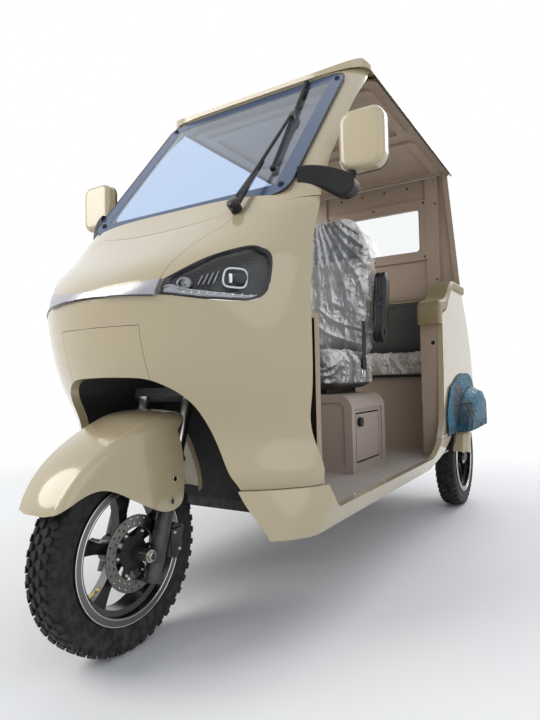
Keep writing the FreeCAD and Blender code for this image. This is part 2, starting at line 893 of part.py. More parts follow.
windscreen_frame = wall_band(nose_chain, upper_share - lap_share, body_high)
windscreen_frame = windscreen_frame.cut(door_cut).common(above_seam())

# Windscreen: flat glass seated in a rebate of its frame.
glass_top_shares = (0.352, 0.957)
glass_low_shares = (0.126, 0.6525)
glass_half_share = 0.792
glass_top = Vector(0, along(glass_top_shares[0]), up(glass_top_shares[1]))
glass_low = Vector(0, along(glass_low_shares[0]), up(glass_low_shares[1]))
glass_up = (glass_top - glass_low).normalize()
glass_out = Vector(1, 0, 0).cross(glass_up)
glass_run = (glass_top - glass_low).Length
glass_half = across(glass_half_share)


def glass_slab(grow, back, front):
    """Rounded slab in the plane of the glass, from back to front of that plane."""
    def place(x, reach):
        return glass_low + Vector(x, 0, 0) + glass_up * reach + glass_out * back
    return rounded_prism(glass_half + grow, -grow, glass_run + grow,
                         size.glass_corner_radius + grow, place, glass_out * (front - back))


glass_pocket = glass_slab(size.touch_gap, -size.touch_gap, 3 * size.overrun)
glass_hole = glass_slab(-size.glass_seat, -3 * size.overrun, size.overrun)
windscreen_frame = windscreen_frame.cut(glass_pocket.fuse(glass_hole))
keep_shape("windscreen_frame", largest(windscreen_frame))
keep_shape("windscreen", glass_slab(0, 0, size.glass_thickness))

# Rear wall above the tub, with its window, moulded window frame and two posts.
upper_tail = wall_band(tail_chain, upper_share, body_high).cut(door_cut)
upper_tail = upper_tail.common(block(-wide, wide, middle_y, tail_end,
                                     size.upper_seam_level + half_seam, size.roof_height))
wall_y = along(1.0)
wall_inner_y = wall_y - size.panel_wall
window_low, window_high = size.window_low_level, size.window_high_level


def window_prism(grow, low, high):
    return rounded_prism(size.window_half_width + grow, window_low - grow, window_high + grow,
                         size.window_corner_radius + grow, lambda x, z: Vector(x, low, z),
                         Vector(0, high - low, 0))


window_frame = window_prism(size.window_frame_width, wall_inner_y - size.window_frame_proud,
                            wall_inner_y + size.panel_wall / 2)
posts = []
post_top = up(body_high) - size.roof_sheet
for side in (-1, 1):
    low, high = sorted((side * size.post_inner, side * size.post_outer))
    posts.append(block(low, high, wall_inner_y - size.post_proud,
                       wall_inner_y + size.panel_wall / 2,
                       size.upper_seam_level + half_seam, post_top))
rear_wall = joined([largest(upper_tail), window_frame] + posts)
glass_y = wall_y - size.panel_wall / 2
window_hole = window_prism(-size.window_glass, wall_inner_y - size.overrun,
                           wall_y + size.overrun)
window_seat = window_prism(size.touch_gap, glass_y, wall_y + size.overrun)
keep_shape("rear_wall", largest(rear_wall.cut(window_hole.fuse(window_seat))))
keep_shape("rear_window", window_prism(0, glass_y + size.touch_gap,
                                       glass_y + size.touch_gap + size.window_glass))


# Roof: a shallow crowned tray turned upside down, over a lining with raised beads.

roof_crown_shares = [(0.000, 0.968), (0.030, 0.982), (0.100, 0.993), (0.350, 1.000),
                     (0.700, 0.998), (0.950, 0.990), (1.000, 0.980)]


roof_low_shares = [(1.000, 0.972), (0.060, 0.972), (0.000, 0.962)]
roof_across_shares = [(0.0, 1.001), (0.6, 0.999), (0.82, 0.996), (0.93, 0.990), (1.0, 0.980)]


def roof_slab(inset):
    """Crowned roof block, moved inwards by inset but for its underside."""
    front = behind(size.roof_front) + inset
    rear = behind(size.roof_rear) - inset
    half = size.roof_half_width - inset
    crown, under = [[(front + share * (rear - front), up(level) - drop)
                     for share, level in shares]
                    for shares, drop in ((roof_crown_shares, inset), (roof_low_shares, 0))]
    outline = [crown, [crown[-1], under[0]]] + [list(pair) for pair in zip(under, under[1:])]
    side = side_prism(outline + [[under[-1], crown[0]]], -half, half)
    right = [(share * half, up(level) - inset) for share, level in roof_across_shares]
    arch = [(-x, z) for x, z in reversed(right[1:])] + right
    low = up(roof_notch_share)
    hoop = front_prism([arch, [arch[-1], (half, low)], [(half, low), (-half, low)],
                        [(-half, low), arch[0]]], front, rear)
    nose = Part.Face(ring_wire([nose_chain(body_high, inset - size.roof_lip)]))
    nose = nose.translated(Vector(0, 0, low - up(body_high)))
    nose = nose.extrude(Vector(0, 0, size.roof_height))
    tail = rounded_prism(half, front, rear, size.roof_corner_radius - inset,
                         lambda x, y: Vector(x, y, low), Vector(0, 0, size.roof_height))
    tail = tail.common(block(-wide, wide, middle_y, tail_end, low, 2 * size.roof_height))
    return side.common(hoop).common(nose.fuse(tail))


roof_outer = roof_slab(0)
roof_inner = roof_slab(size.roof_sheet)
roof_tray = roof_outer.cut(roof_inner.fuse(roof_inner.translated(Vector(0, 0, -size.overrun))))

# The roof is notched where the windscreen frame and the rear wall rise into it.
notch = size.touch_gap
frame_notch = wall_band(nose_chain, roof_notch_share, body_high, -notch,
                        size.panel_wall + notch)
wall_notch = wall_band(tail_chain, roof_notch_share, body_high, -notch,
                       size.panel_wall + notch)
front_of_door = block(-wide, wide, nose_start, along(door_front_shares[0][0]) + notch,
                      0, up(body_high) + notch)
behind_door = block(-wide, wide, along(door_rear_share) - notch, tail_end,
                    0, up(body_high) + notch)
raised = Vector(0, 0, notch)
roof_notches = [frame_notch.common(front_of_door), wall_notch.common(behind_door)]
roof_notches += [piece.translated(raised) for piece in roof_notches]
roof_panel = roof_tray
for piece in roof_notches:
    roof_panel = roof_panel.cut(piece)
keep_shape("roof_panel", largest(roof_panel))

lining_top_share = 0.9795
lining_top = up(lining_top_share) - size.touch_gap
lining_low = lining_top - size.lining_sheet
lining_half = size.roof_half_width - size.roof_sheet - size.lining_gap
lining_front = behind(size.roof_front) + size.lining_setback
lining_rear = wall_inner_y - size.post_proud - size.moving_gap
lining_corner = size.roof_corner_radius / 2
lining_place = lambda level: (lambda x, y: Vector(x, y, level))
lining = rounded_prism(lining_half, lining_front, lining_rear, lining_corner,
                       lining_place(lining_low), Vector(0, 0, size.lining_sheet))
bead_share = 0.5
beads = []
bead_middle = lining_front + (lining_rear - lining_front) * bead_share
for low, high in ((lining_front, bead_middle), (bead_middle, lining_rear)):
    ring = rounded_prism(lining_half - size.lining_margin, low + size.lining_margin,
                         high - size.lining_margin, lining_corner,
                         lining_place(lining_low - size.lining_bead),
                         Vector(0, 0, size.lining_bead))
    hole = rounded_prism(lining_half - 2 * size.lining_margin, low + 2 * size.lining_margin,
                         high - 2 * size.lining_margin, lining_corner / 2,
                         lining_place(lining_low - size.lining_bead),
                         Vector(0, 0, size.lining_bead))
    beads.append(ring.cut(hole))
keep_shape("roof_lining", joined([lining] + beads))

# Floor, leg shield with its shelf, front wheel liner and the tub's inner walls. They are
# cut clear of the skin by its own bands, made a little thicker.
clear_wall = size.panel_wall + size.skin_clearance
skin_bands = [
    wall_band(split_nose_chain, body_low, sill_share + lap_share, -size.skin_clearance,
              clear_wall),
    wall_band(tail_chain, body_low, sill_share + lap_share, -size.skin_clearance, clear_wall),
    wall_band(nose_chain, sill_share - lap_share, seam_high_share + lap_share,
              -size.skin_clearance, clear_wall)]


def off_skin(shape):
    for band in skin_bands:
        shape = shape.cut(band)
    return shape


inner_gap = size.panel_wall + size.touch_gap
floor_low = size.floor_level - size.floor_sheet
low_share, high_share = 0.165, 0.65
front_room = solid_form(nose_chain, low_share, high_share, inner_gap)
rear_room = solid_form(tail_chain, low_share, high_share, inner_gap)
bench_wall_y = behind(size.bench_wall_front)
shield_y = behind(size.shield_front)


def shield_room(inset, low, high):
    """Space ahead of the leg shield, whose sides run forward and out to the front posts."""
    corner = (size.shield_half_width, shield_y + size.shield_wall)
    end = (size.shield_side_half_width, behind(size.shield_side_front))
    length = math.dist(corner, end)
    run, rise = (end[0] - corner[0]) / length, (end[1] - corner[1]) / length
    knee = (corner[0] + inset * (1 - run) / rise, corner[1] - inset)
    reach = length + size.overrun
    tip = (corner[0] + run * reach + inset * rise, corner[1] + rise * reach - inset * run)
    right = [knee, tip, (tip[0], nose_start)]
    left = [(-x, y) for x, y in reversed(right)]
    return plan_prism(polygon(right + left), low, high)


floor = block(-wide, wide, behind(size.floor_front), bench_wall_y + size.liner_wall,
              floor_low, size.floor_level)
wings = block(-wide, wide, behind(size.floor_wing_front), behind(size.floor_front),
              floor_low, size.floor_level)
wings = wings.cut(shield_room(size.shield_wall, floor_low, size.floor_level))
floor = joined([front_room.fuse(rear_room).common(floor), front_room.common(wings)])
bone_room = block(-size.backbone_width / 2 - size.touch_gap,
                  size.backbone_width / 2 + size.touch_gap, behind(size.floor_front)
                  - size.overrun, shield_y - size.moving_gap + size.touch_gap, floor_low,
                  size.floor_level)
keep_shape("floor_pan", largest(off_skin(floor).cut(bone_room)))

axis_lean = math.radians(size.fork_rake)
axis_up = Vector(0, math.sin(axis_lean), math.cos(axis_lean))
axis_ahead = Vector(0, -math.cos(axis_lean), math.sin(axis_lean))
axis_foot = Vector(0, front_axle_y, axle_z) - axis_ahead * size.fork_offset


def on_axis(reach, ahead=0, x=0):
    """Point at a reach up the steering axis, moved ahead of it and to one side."""
    return axis_foot + axis_up * reach + axis_ahead * ahead + Vector(x, 0, 0)


shelf_low = size.shelf_level - size.shield_wall
standing = size.floor_level + size.touch_gap
shelf_space = block(-wide, wide, behind(size.shelf_front), middle_y, 0, size.roof_height)
front_space = front_room.common(shelf_space)
shelf = shield_room(0, shelf_low, size.shelf_level).common(shelf_space).common(front_room)
shield = shield_room(0, standing, shelf_low).common(shelf_space).common(front_space)
shield = shield.cut(shield_room(size.shield_wall, standing, shelf_low))
stem_hole = rod(on_axis(size.head_tube_high_reach - size.overrun),
                on_axis(size.head_tube_high_reach + 3 * size.overrun), size.stem_hole_radius)
dashboard = joined([shelf, shield])
keep_shape("dashboard", largest(off_skin(dashboard).cut(stem_hole)))

liner_tube = front_prism(arch_segments(size.arch_liner_wall), arch_front, arch_rear)
liner_wall = liner_tube.cut(front_prism(arch_segments(0), arch_front - size.overrun,
                                        arch_rear + size.overrun))
liner_back = front_prism(arch_segments(size.arch_liner_wall), arch_rear,
                         arch_rear + size.arch_liner_wall)
arch_liner = joined([liner_wall, liner_back]).common(front_room)
liner_hole = rod(on_axis(size.clamp_reach), on_axis(size.head_tube_high_reach),
                 size.stem_hole_radius)
keep_shape("arch_liner", largest(off_skin(arch_liner).cut(liner_hole)))

liner_x = size.body_half_width - size.liner_side_inset
pillar_y = along(door_tub_shares[0][0]) + size.touch_gap
deck_low = size.bench_deck_level - size.liner_wall
liner_side_shares = [(0.737, 0.522), (0.745, 0.530), (0.768, 0.537), (0.835, 0.590),
                     (0.850, 0.599), (0.872, 0.602)]
liner_rail = shares_to_side(liner_side_shares)
liner_end_y = wall_inner_y - size.post_proud - size.moving_gap
liner_side = side_prism([
    liner_rail, [liner_rail[-1], (liner_end_y, liner_rail[-1][1])],
    [(liner_end_y, liner_rail[-1][1]), (liner_end_y, size.tub_arch_level)],
    [(liner_end_y, size.tub_arch_level), (bench_wall_y + size.liner_wall,
                                          size.tub_arch_level)],
    [(bench_wall_y + size.liner_wall, size.tub_arch_level),
     (bench_wall_y + size.liner_wall, standing)],
    [(bench_wall_y + size.liner_wall, standing), (liner_rail[0][0], standing)],
    [(liner_rail[0][0], standing), liner_rail[0]]], liner_x, liner_x + size.liner_wall)
pillar_web = block(liner_x, size.body_half_width - inner_gap, pillar_y,
                   pillar_y + size.liner_wall, standing, liner_rail[0][1]
                   - size.liner_wall)
bench_wall = block(-liner_x - size.touch_gap, liner_x + size.touch_gap, bench_wall_y,
                   bench_wall_y + size.liner_wall, standing, deck_low)
deck = block(-liner_x - size.touch_gap, liner_x + size.touch_gap, bench_wall_y,
             liner_end_y, deck_low, size.bench_deck_level)
tub_room = rear_room.common(block(-wide, wide, middle_y, tail_end, 0, size.roof_height))
tub_liner = joined([liner_side, mirrored(liner_side), bench_wall, deck,
                    pillar_web.common(tub_room), mirrored(pillar_web).common(tub_room)])
keep_shape("tub_liner", largest(off_skin(tub_liner)))

# Caps: rounded rails over each tub side, hooked over its front post.
cap_front_shares = [(0.7180, 0.505), (0.7180, 0.540), (0.7225, 0.555), (0.7330, 0.564),
                    (0.7450, 0.567), (0.7750, 0.573), (0.8330, 0.618), (0.8510, 0.628),
                    (0.8720, 0.632)]
cap_rear_share = 0.9755
cap_rear_level_share = 0.59
cap_outline = side_prism([
    shares_to_side(cap_front_shares),
    shares_to_side([cap_front_shares[-1], (cap_rear_share, cap_front_shares[-1][1])]),
    shares_to_side([(cap_rear_share, cap_front_shares[-1][1]),
                    (cap_rear_share, cap_rear_level_share)]),
    shares_to_side([(cap_rear_share, cap_rear_level_share),
                    (cap_rear_share, cap_front_shares[0][1])]),
    shares_to_side([(cap_rear_share, cap_front_shares[0][1]), cap_front_shares[0]])],
    liner_x - size.cap_overlap, size.body_half_width)
tub_clear = door_cut.translated(Vector(0, -size.touch_gap, 2 * size.touch_gap))
cap = largest(cap_outline.common(tub_clear))
cap_rims = [edge for edge in cap.Edges if edge.Length > 2 * size.overrun
            and edge.BoundBox.XLength < size.touch_gap
            and edge.BoundBox.ZMax > up(cap_front_shares[1][1])]
keep_shape("tub_caps", both_sides(cap.makeFillet(size.cap_edge_radius, cap_rims)))


# Chassis: two kicked-up rails, cross members, head tube with its backbone, rear bumper.

def rail_outline():
    low = floor_low - size.touch_gap - size.rail_depth
    front, rear = behind(size.rail_front), behind(size.rail_rear)
    kick = behind(size.rail_kick_front)
    run, rise, depth = size.rail_kick_run, size.rail_kick_rise, size.rail_depth
    miter = depth * (math.hypot(run, rise) - run) / rise
    return [(front, low), (kick, low), (kick + run, low + rise), (rear, low + rise),
            (rear, low + rise + depth), (kick + run - miter, low + rise + depth),
            (kick - miter, low + depth), (front, low + depth)]


rail = side_prism(polygon(rail_outline()), size.rail_offset - size.rail_width / 2,
                  size.rail_offset + size.rail_width / 2)
rail_top = floor_low - size.touch_gap
rear_rail_top = rail_top + size.rail_kick_rise
cross_shares = [0.235, 0.46, 0.70, 0.845]
crosses = [block(-size.rail_offset, size.rail_offset, along(share),
                 along(share) + size.cross_width, rail_top - size.cross_depth, rail_top)
           for share in cross_shares]
rear_cross = block(-size.bumper_half_width, size.bumper_half_width,
                   behind(size.rail_rear) - size.cross_width, behind(size.rail_rear),
                   rear_rail_top - size.rail_depth + size.moving_gap, rear_rail_top)
outriggers = [block(-size.outrigger_half_span, size.outrigger_half_span, along(share),
                    along(share) + size.cross_width, rail_top - size.cross_depth, rail_top)
              for share in (0.31, 0.66)]
head_tube = rod(on_axis(size.head_tube_low_reach), on_axis(size.head_tube_high_reach),
                size.stem_radius + size.touch_gap + size.head_tube_wall)
head_bore = rod(on_axis(size.head_tube_low_reach - size.overrun),
                on_axis(size.head_tube_high_reach + size.overrun),
                size.stem_radius + size.touch_gap)
bone_low = on_axis(size.head_tube_low_reach + size.overrun)
bone_high = on_axis(size.head_tube_high_reach - size.overrun)
bone_rear = shield_y - size.moving_gap
bone_front = behind(size.rail_front)
backbone = side_prism(polygon([
    (bone_low.y, bone_low.z), (bone_high.y, bone_high.z),
    (bone_rear, bone_high.z - size.backbone_width),
    (bone_rear, rail_top - size.cross_depth), (bone_front, rail_top - size.cross_depth),
    (bone_front, bone_low.z)]), -size.backbone_width / 2, size.backbone_width / 2)
front_cross = block(-size.rail_offset, size.rail_offset, bone_front,
                    bone_front + size.rail_width, rail_top - size.rail_depth, rail_top)
bumper_y = size.overall_length / 2 - size.bumper_radius
bumper_z = size.bumper_level
bumper = bent_tube([
    Vector(-size.bumper_half_width, behind(size.rail_rear) - size.cross_width / 2, bumper_z),
    Vector(-size.bumper_half_width, bumper_y, bumper_z),
    Vector(size.bumper_half_width, bumper_y, bumper_z),
    Vector(size.bumper_half_width, behind(size.rail_rear) - size.cross_width / 2, bumper_z)],
    size.bumper_radius, size.bumper_bend_radius)

# Rack plate behind the rear cross member, with four bolt holes.
plate_y = behind(size.rail_rear)
plate_z = rear_rail_top - size.rail_depth / 2
plate_half = size.rack_spacing_across / 2 + size.rack_margin
plate_rise = size.rack_spacing_up / 2 + size.rack_margin
rack_plate = block(-plate_half, plate_half, plate_y, plate_y + size.rack_plate,
                   plate_z - plate_rise, plate_z + plate_rise)
rack_holes = [Part.makeCylinder(size.rack_hole_radius, size.rack_plate + 2 * size.overrun,
                                Vector(x, plate_y - size.overrun, plate_z + z),
                                Vector(0, 1, 0))
              for x in (-size.rack_spacing_across / 2, size.rack_spacing_across / 2)
              for z in (-size.rack_spacing_up / 2, size.rack_spacing_up / 2)]

# Spring hangers under the rails.
pad_z = axle_z + size.axle_tube_radius
leaf_top = pad_z + size.spring_pad + size.spring_leaves * size.spring_leaf
eye_z = leaf_top + size.spring_camber
hangers = []
for share in (-1, 1):
    eye_y = rear_axle_y + share * size.spring_half_span
    for side in (-1, 1):
        low_x = size.spring_offset + side * (size.spring_width / 2 + size.touch_gap)
        high_x = low_x + side * size.hanger_width
        low_x, high_x = sorted((low_x, high_x))
        hangers.append(block(low_x, high_x, eye_y - size.spring_eye_radius,
                             eye_y + size.spring_eye_radius,
                             eye_z - size.spring_eye_radius, rear_rail_top))
    hangers.append(block(size.rail_offset, size.spring_offset + size.spring_width / 2
                         + size.hanger_width + size.touch_gap,
                         eye_y - size.spring_eye_radius, eye_y + size.spring_eye_radius,
                         rear_rail_top - size.cross_depth, rear_rail_top))
frame_pieces = [rail, mirrored(rail), rear_cross, front_cross, backbone, head_tube, bumper,
                rack_plate]
frame_pieces += crosses + outriggers + hangers + [mirrored(piece) for piece in hangers]
chassis = joined(frame_pieces)
for hole in rack_holes:
    chassis = chassis.cut(hole)
keep_shape("chassis_frame", largest(chassis.cut(head_bore)))

# Leaf springs on the axle pads.
half_leaf = size.spring_width / 2


def leaf_arc(level, share):
    """One curved leaf: its middle on the axle, its ends raised with the camber."""
    half = size.spring_half_span * share
    rise = size.spring_camber * share ** 2
    low = [Vector(0, rear_axle_y - half, level + rise), Vector(0, rear_axle_y, level),
           Vector(0, rear_axle_y + half, level + rise)]
    lift = Vector(0, 0, size.spring_leaf)
    high = [point + lift for point in low]
    wire = Part.Wire([Part.Arc(*low).toShape(), Part.makeLine(low[2], high[2]),
                      Part.Arc(high[2], high[1], high[0]).toShape(),
                      Part.makeLine(high[0], low[0])])
    leaf = Part.Face(wire).extrude(Vector(size.spring_width, 0, 0))
    return leaf.translated(Vector(size.spring_offset - half_leaf, 0, 0))


leaf_low = pad_z + size.spring_pad
leaf_shares = [0.5, 0.76, 1.0]
leaves = [leaf_arc(leaf_low + index * size.spring_leaf, share)
          for index, share in enumerate(leaf_shares)]
main_level = leaf_low + (len(leaf_shares) - 1) * size.spring_leaf
for share in (-1, 1):
    eye = Vector(size.spring_offset - half_leaf, rear_axle_y + share * size.spring_half_span,
                 main_level + size.spring_camber + size.spring_leaf / 2)
    leaves.append(Part.makeCylinder(size.spring_eye_radius - size.touch_gap,
                                    size.spring_width, eye, Vector(1, 0, 0)))
keep_shape("leaf_springs", both_sides(joined(leaves)))

# Rear axle: tube, finned motor, gear case, brake back plates and stub ends.
axle_mid = Vector(0, rear_axle_y, axle_z)
hub_inner_x = size.rear_half_track - size.hub_length / 2
plate_x = hub_inner_x - size.moving_gap
tube = rod(axle_mid - Vector(plate_x, 0, 0), axle_mid + Vector(plate_x, 0, 0),
           size.axle_tube_radius)
case = rod(axle_mid - Vector(size.case_half_length, 0, 0),
           axle_mid + Vector(size.case_half_length / 3, 0, 0), size.case_radius)
motor = rod(axle_mid - Vector(size.motor_half_length / 3, 0, 0),
            axle_mid + Vector(size.motor_half_length, 0, 0), size.motor_radius)
stub_x = size.rear_half_track + size.hub_length / 2 + size.axle_nut_length
stub = rod(axle_mid - Vector(stub_x, 0, 0), axle_mid + Vector(stub_x, 0, 0),
           size.axle_stub_radius)
pads = [block(size.spring_offset - half_leaf, size.spring_offset + half_leaf,
              rear_axle_y - size.axle_tube_radius, rear_axle_y + size.axle_tube_radius,
              axle_z, pad_z + size.spring_pad)]
keep_shape("rear_axle", joined([tube, case, motor, stub] + pads
                               + [mirrored(pad) for pad in pads]))

# Wheels.

def tyre_body(label, x, y):
    body = new_body(label)
    crown, bead, half = size.tyre_radius, size.bead_radius, size.tyre_width / 2
    rim_half = size.rim_width / 2
    shoulder_share, flank_share, crown_share = 0.90, 0.62, 0.985
    depth = crown - bead
    points = [(-rim_half + size.rim_wall, bead),
              (-rim_half + size.touch_gap, size.rim_lip_radius + size.touch_gap),
              (-half, bead + flank_share * depth), (-half * 0.93, bead + shoulder_share * depth),
              (-half * 0.6, bead + crown_share * depth), (0, crown)]
    points += [(-px, pr) for px, pr in reversed(points[:-1])]
    revolve_profile(body, "Carcass", points)
    place_wheel(body, x, y)
    return body


def place_wheel(body, x_text, y_text):
    bind(body, "Placement.Base.x", x_text)
    bind(body, "Placement.Base.y", y_text)
    bind(body, "Placement.Base.z", "tyre_radius")


def rim_body(label, x_text, y_text, bore, drum_side):
    """Alloy wheel: lipped barrel, waisted spokes and hub, with a drum on a rear wheel."""
    body = new_body(label)
    half = size.rim_width / 2
    wall, well, lip = size.rim_wall, size.rim_well_radius, size.rim_lip_radius
    seat = size.bead_radius - size.touch_gap
    well_half = size.rim_well_width / 2
    outer = [(-half - wall, lip), (-half, lip), (-half, seat), (-well_half - wall, seat),
             (-well_half, well + wall)]
    inner = [(-half - wall, seat - wall), (-well_half - 2 * wall, seat - wall),
             (-well_half - wall, well)]
    points = outer + [(-x, radius) for x, radius in reversed(outer)]
    points += [(-x, radius) for x, radius in inner] + list(reversed(inner))
    revolve_profile(body, "Barrel", points)
    sketch = new_sketch(body, "Spoke_outline", "YZ_Plane")
    root, waist, tip = [width / 2 for width in (size.spoke_root_width, size.spoke_waist_width,
                                                size.spoke_tip_width)]
    near = size.hub_radius - wall
    far = well + wall / 2
    middle = (near + far) / 2
    for start, through, end in (((-root, near), (-waist, middle), (-tip, far)),
                                ((tip, far), (waist, middle), (root, near))):
        sketch.addGeometry(Part.Arc(Vector(*start, 0), Vector(*through, 0),
                                    Vector(*end, 0)), False)
    for start, end in (((-tip, far), (tip, far)), ((root, near), (-root, near))):
        sketch.addGeometry(Part.LineSegment(Vector(*start, 0), Vector(*end, 0)), False)
    spoke = body.newObject("PartDesign::Pad", "Spoke")
    spoke.Profile = (sketch, [""])
    spoke.Midplane = True
    bind(spoke, "Length", "spoke_depth")
    doc.recompute()
    ring = body.newObject("PartDesign::PolarPattern", "Spokes")
    ring.Originals = [spoke]
    ring.Axis = (sketch, ["N_Axis"])
    ring.Angle = 360
    bind(ring, "Occurrences", "spoke_count")
    body.Tip = ring
    doc.recompute()
    hub_half = size.hub_length / 2
    last = revolve_profile(body, "Hub", [(-hub_half, bore), (-hub_half, size.hub_radius),
                                         (hub_half, size.hub_radius), (hub_half, bore)])
    if drum_side:
        end_x = -drum_side * size.drum_length
        last = revolve_profile(body, "Drum", [(0, near), (0, size.drum_radius),
                                              (end_x, size.drum_radius), (end_x, near)])
    body.Tip = last
    place_wheel(body, x_text, y_text)
    return body


front_y_text = "tyre_radius - overall_length / 2"
rear_y_text = front_y_text + " + wheelbase"
axle_bore = size.axle_radius + size.touch_gap
stub_bore = size.axle_stub_radius + size.touch_gap
tyre_body("front_tyre", "0", front_y_text)
rim_body("front_rim", "0", front_y_text, axle_bore, 0)
for side_name, sign, x_text in (("left", 1, "rear_half_track"),
                                ("right", -1, "0 - rear_half_track")):
    tyre_body("rear_tyre_" + side_name, x_text, rear_y_text)
    rim_body("rear_rim_" + side_name, x_text, rear_y_text, stub_bore, sign)

# Front brake disc: a drilled ring on a five-window carrier beside the hub.
disc = new_body("brake_disc")
disc_sketch = new_sketch(disc, "Disc_outline", "YZ_Plane")
draw_circle(disc_sketch, "disc_radius")
draw_circle(disc_sketch, "axle_radius + touch_gap + rim_wall")
disc_pad = disc.newObject("PartDesign::Pad", "Disc")
disc_pad.Profile = (disc_sketch, [""])
bind(disc_pad, "Length", "disc_sheet")
boss_sketch = new_sketch(disc, "Boss_outline", "YZ_Plane")
draw_circle(boss_sketch, "hub_radius - rim_wall")
draw_circle(boss_sketch, "axle_radius + touch_gap + rim_wall")
boss = disc.newObject("PartDesign::Pad", "Boss")
boss.Profile = (boss_sketch, [""])
boss.Reversed = True
bind(boss, "Length", "disc_plane - (disc_sheet + hub_length) / 2 - touch_gap")
doc.recompute()
window_sketch = new_sketch(disc, "Window_outline", "YZ_Plane")
window_reach = (size.disc_ring_inner + size.hub_radius) / 2
draw_circle(window_sketch, "disc_window_radius", (0, window_reach))
windows = disc.newObject("PartDesign::Pocket", "Windows")
windows.Profile = (window_sketch, [""])
windows.Type = 1
windows.Midplane = True
doc.recompute()
window_ring = disc.newObject("PartDesign::PolarPattern", "Window_ring")
window_ring.Originals = [windows]
window_ring.Axis = (window_sketch, ["N_Axis"])
window_ring.Angle = 360
bind(window_ring, "Occurrences", "spoke_count")
disc.Tip = window_ring
bind(disc, "Placement.Base.x", "disc_plane - disc_sheet / 2")
bind(disc, "Placement.Base.y", front_y_text)
bind(disc, "Placement.Base.z", "tyre_radius")

# Fork: stanchions, clamp and stem lean with the steering axis; sliders carry the axle.
legs, slides = [], []
for side in (-1, 1):
    x = side * size.leg_offset
    top_reach = size.clamp_reach + size.clamp_thickness / 2
    legs.append(rod(on_axis(size.slider_top_reach, x=x), on_axis(top_reach, x=x),
                    size.stanchion_radius))
    slides.append(rod(on_axis(-size.slider_foot_reach, x=x),
                      on_axis(size.slider_top_reach - size.touch_gap, x=x),
                      size.slider_radius))
    lug_low = side * (size.leg_offset - size.slider_radius)
    lug = Part.makeBox(2 * size.slider_radius, size.fork_offset, 2 * size.axle_nut_radius)
    lug.Placement = Placement(
        on_axis(-size.axle_nut_radius, size.fork_offset,
                min(lug_low, side * (size.leg_offset + size.slider_radius))),
        Rotation(Vector(1, 0, 0), -size.fork_rake))
    slides.append(lug)
    slides.append(Part.makeCylinder(size.axle_nut_radius, 2 * size.slider_radius,
                                    Vector(min(lug_low, lug_low + side * 2
                                               * size.slider_radius), front_axle_y, axle_z),
                                    Vector(1, 0, 0)))
clamp = Part.makeBox(2 * (size.leg_offset + size.clamp_overhang), size.clamp_depth,
                     size.clamp_thickness)
clamp.Placement = Placement(
    on_axis(size.clamp_reach - size.clamp_thickness / 2, size.clamp_depth / 2,
            -size.leg_offset - size.clamp_overhang),
    Rotation(Vector(1, 0, 0), -size.fork_rake))
clamp = clamp.makeFillet(size.clamp_depth / 3, [
    edge for edge in clamp.Edges
    if edge.tangentAt(edge.FirstParameter).cross(axis_up).Length < 0.01])
stem = rod(on_axis(size.clamp_reach), on_axis(size.stem_top_reach), size.stem_radius)
keep_shape("fork_tubes", joined(legs + [clamp, stem]))
nut_x = size.leg_offset + size.slider_radius + size.axle_nut_length
axle = rod(Vector(-nut_x, front_axle_y, axle_z), Vector(nut_x, front_axle_y, axle_z),
           size.axle_radius)
keep_shape("fork_sliders", joined(slides + [axle]))

# Front brake caliper behind the left slider, straddling the disc.
caliper_low = Part.makeBox(size.caliper_outer - size.caliper_inner, size.caliper_depth,
                           size.caliper_height)
caliper_low.Placement = Placement(
    Vector(size.caliper_inner, 0, 0) + on_axis(0, -size.slider_radius - size.touch_gap),
    Rotation(Vector(1, 0, 0), -size.fork_rake))
caliper = caliper_low.makeFillet(size.caliper_depth / 5, [
    edge for edge in caliper_low.Edges
    if edge.tangentAt(edge.FirstParameter).cross(Vector(1, 0, 0)).Length < 0.01])
slot = Part.makeCylinder(size.disc_radius + size.moving_gap, size.caliper_slot,
                         Vector(size.disc_plane - size.caliper_slot / 2, front_axle_y, axle_z),
                         Vector(1, 0, 0))
keep_shape("brake_caliper", largest(caliper.cut(slot)))


def bound_cylinder(name, radius_text, height_text, base, direction):
    """Part::Cylinder with its radius and height bound to the sheet."""
    item = doc.addObject("Part::Cylinder", name)
    bind(item, "Radius", radius_text)
    bind(item, "Height", height_text)
    item.Placement = Placement(base, Rotation(Vector(0, 0, 1), direction))
    return item


# Handlebar: two risers from the stem, one swept bar, levers ahead of the grips.
stem_top = on_axis(size.stem_top_reach)
bar_mid = stem_top + Vector(0, size.bar_setback, size.bar_rise)
bar_end = bar_mid + Vector(size.bar_half_width, size.bar_sweep, 0)
bar_knee = bar_mid + Vector(size.bar_middle, 0, 0)
riser_x = size.bar_middle / 2
bar_path = [bar_end, bar_knee, Vector(-bar_knee.x, bar_knee.y, bar_knee.z),
            Vector(-bar_end.x, bar_end.y, bar_end.z)]
bar_pieces = [bent_tube(bar_path, size.bar_radius, size.bar_middle)]
for side in (-1, 1):
    shift = Vector(side * riser_x, 0, 0)
    bar_pieces.append(rod(stem_top + shift, bar_mid + shift, 0.8 * size.bar_radius))
bar_pieces.append(rod(stem_top - Vector(riser_x + size.stem_radius, 0, 0),
                      stem_top + Vector(riser_x + size.stem_radius, 0, 0),
                      size.stem_radius + size.bar_radius / 2))
bar_out = (bar_end - bar_knee).normalize()
grip_root = bar_end - bar_out * size.grip_length
lever_shift = Vector(0, -size.lever_gap, 0)
lever_root = grip_root - bar_out * size.grip_radius
for root, tip in ((lever_root, lever_root + lever_shift),
                  (lever_root + lever_shift, bar_end - bar_out * size.grip_radius
                   + lever_shift * 1.2)):
    lever = rod(root, tip, size.lever_radius)
    knob = Part.makeSphere(1.4 * size.lever_radius, tip)
    bar_pieces += [lever, knob, mirrored(lever), mirrored(knob)]
pod_out = Vector(0, 0.6, 0.8)
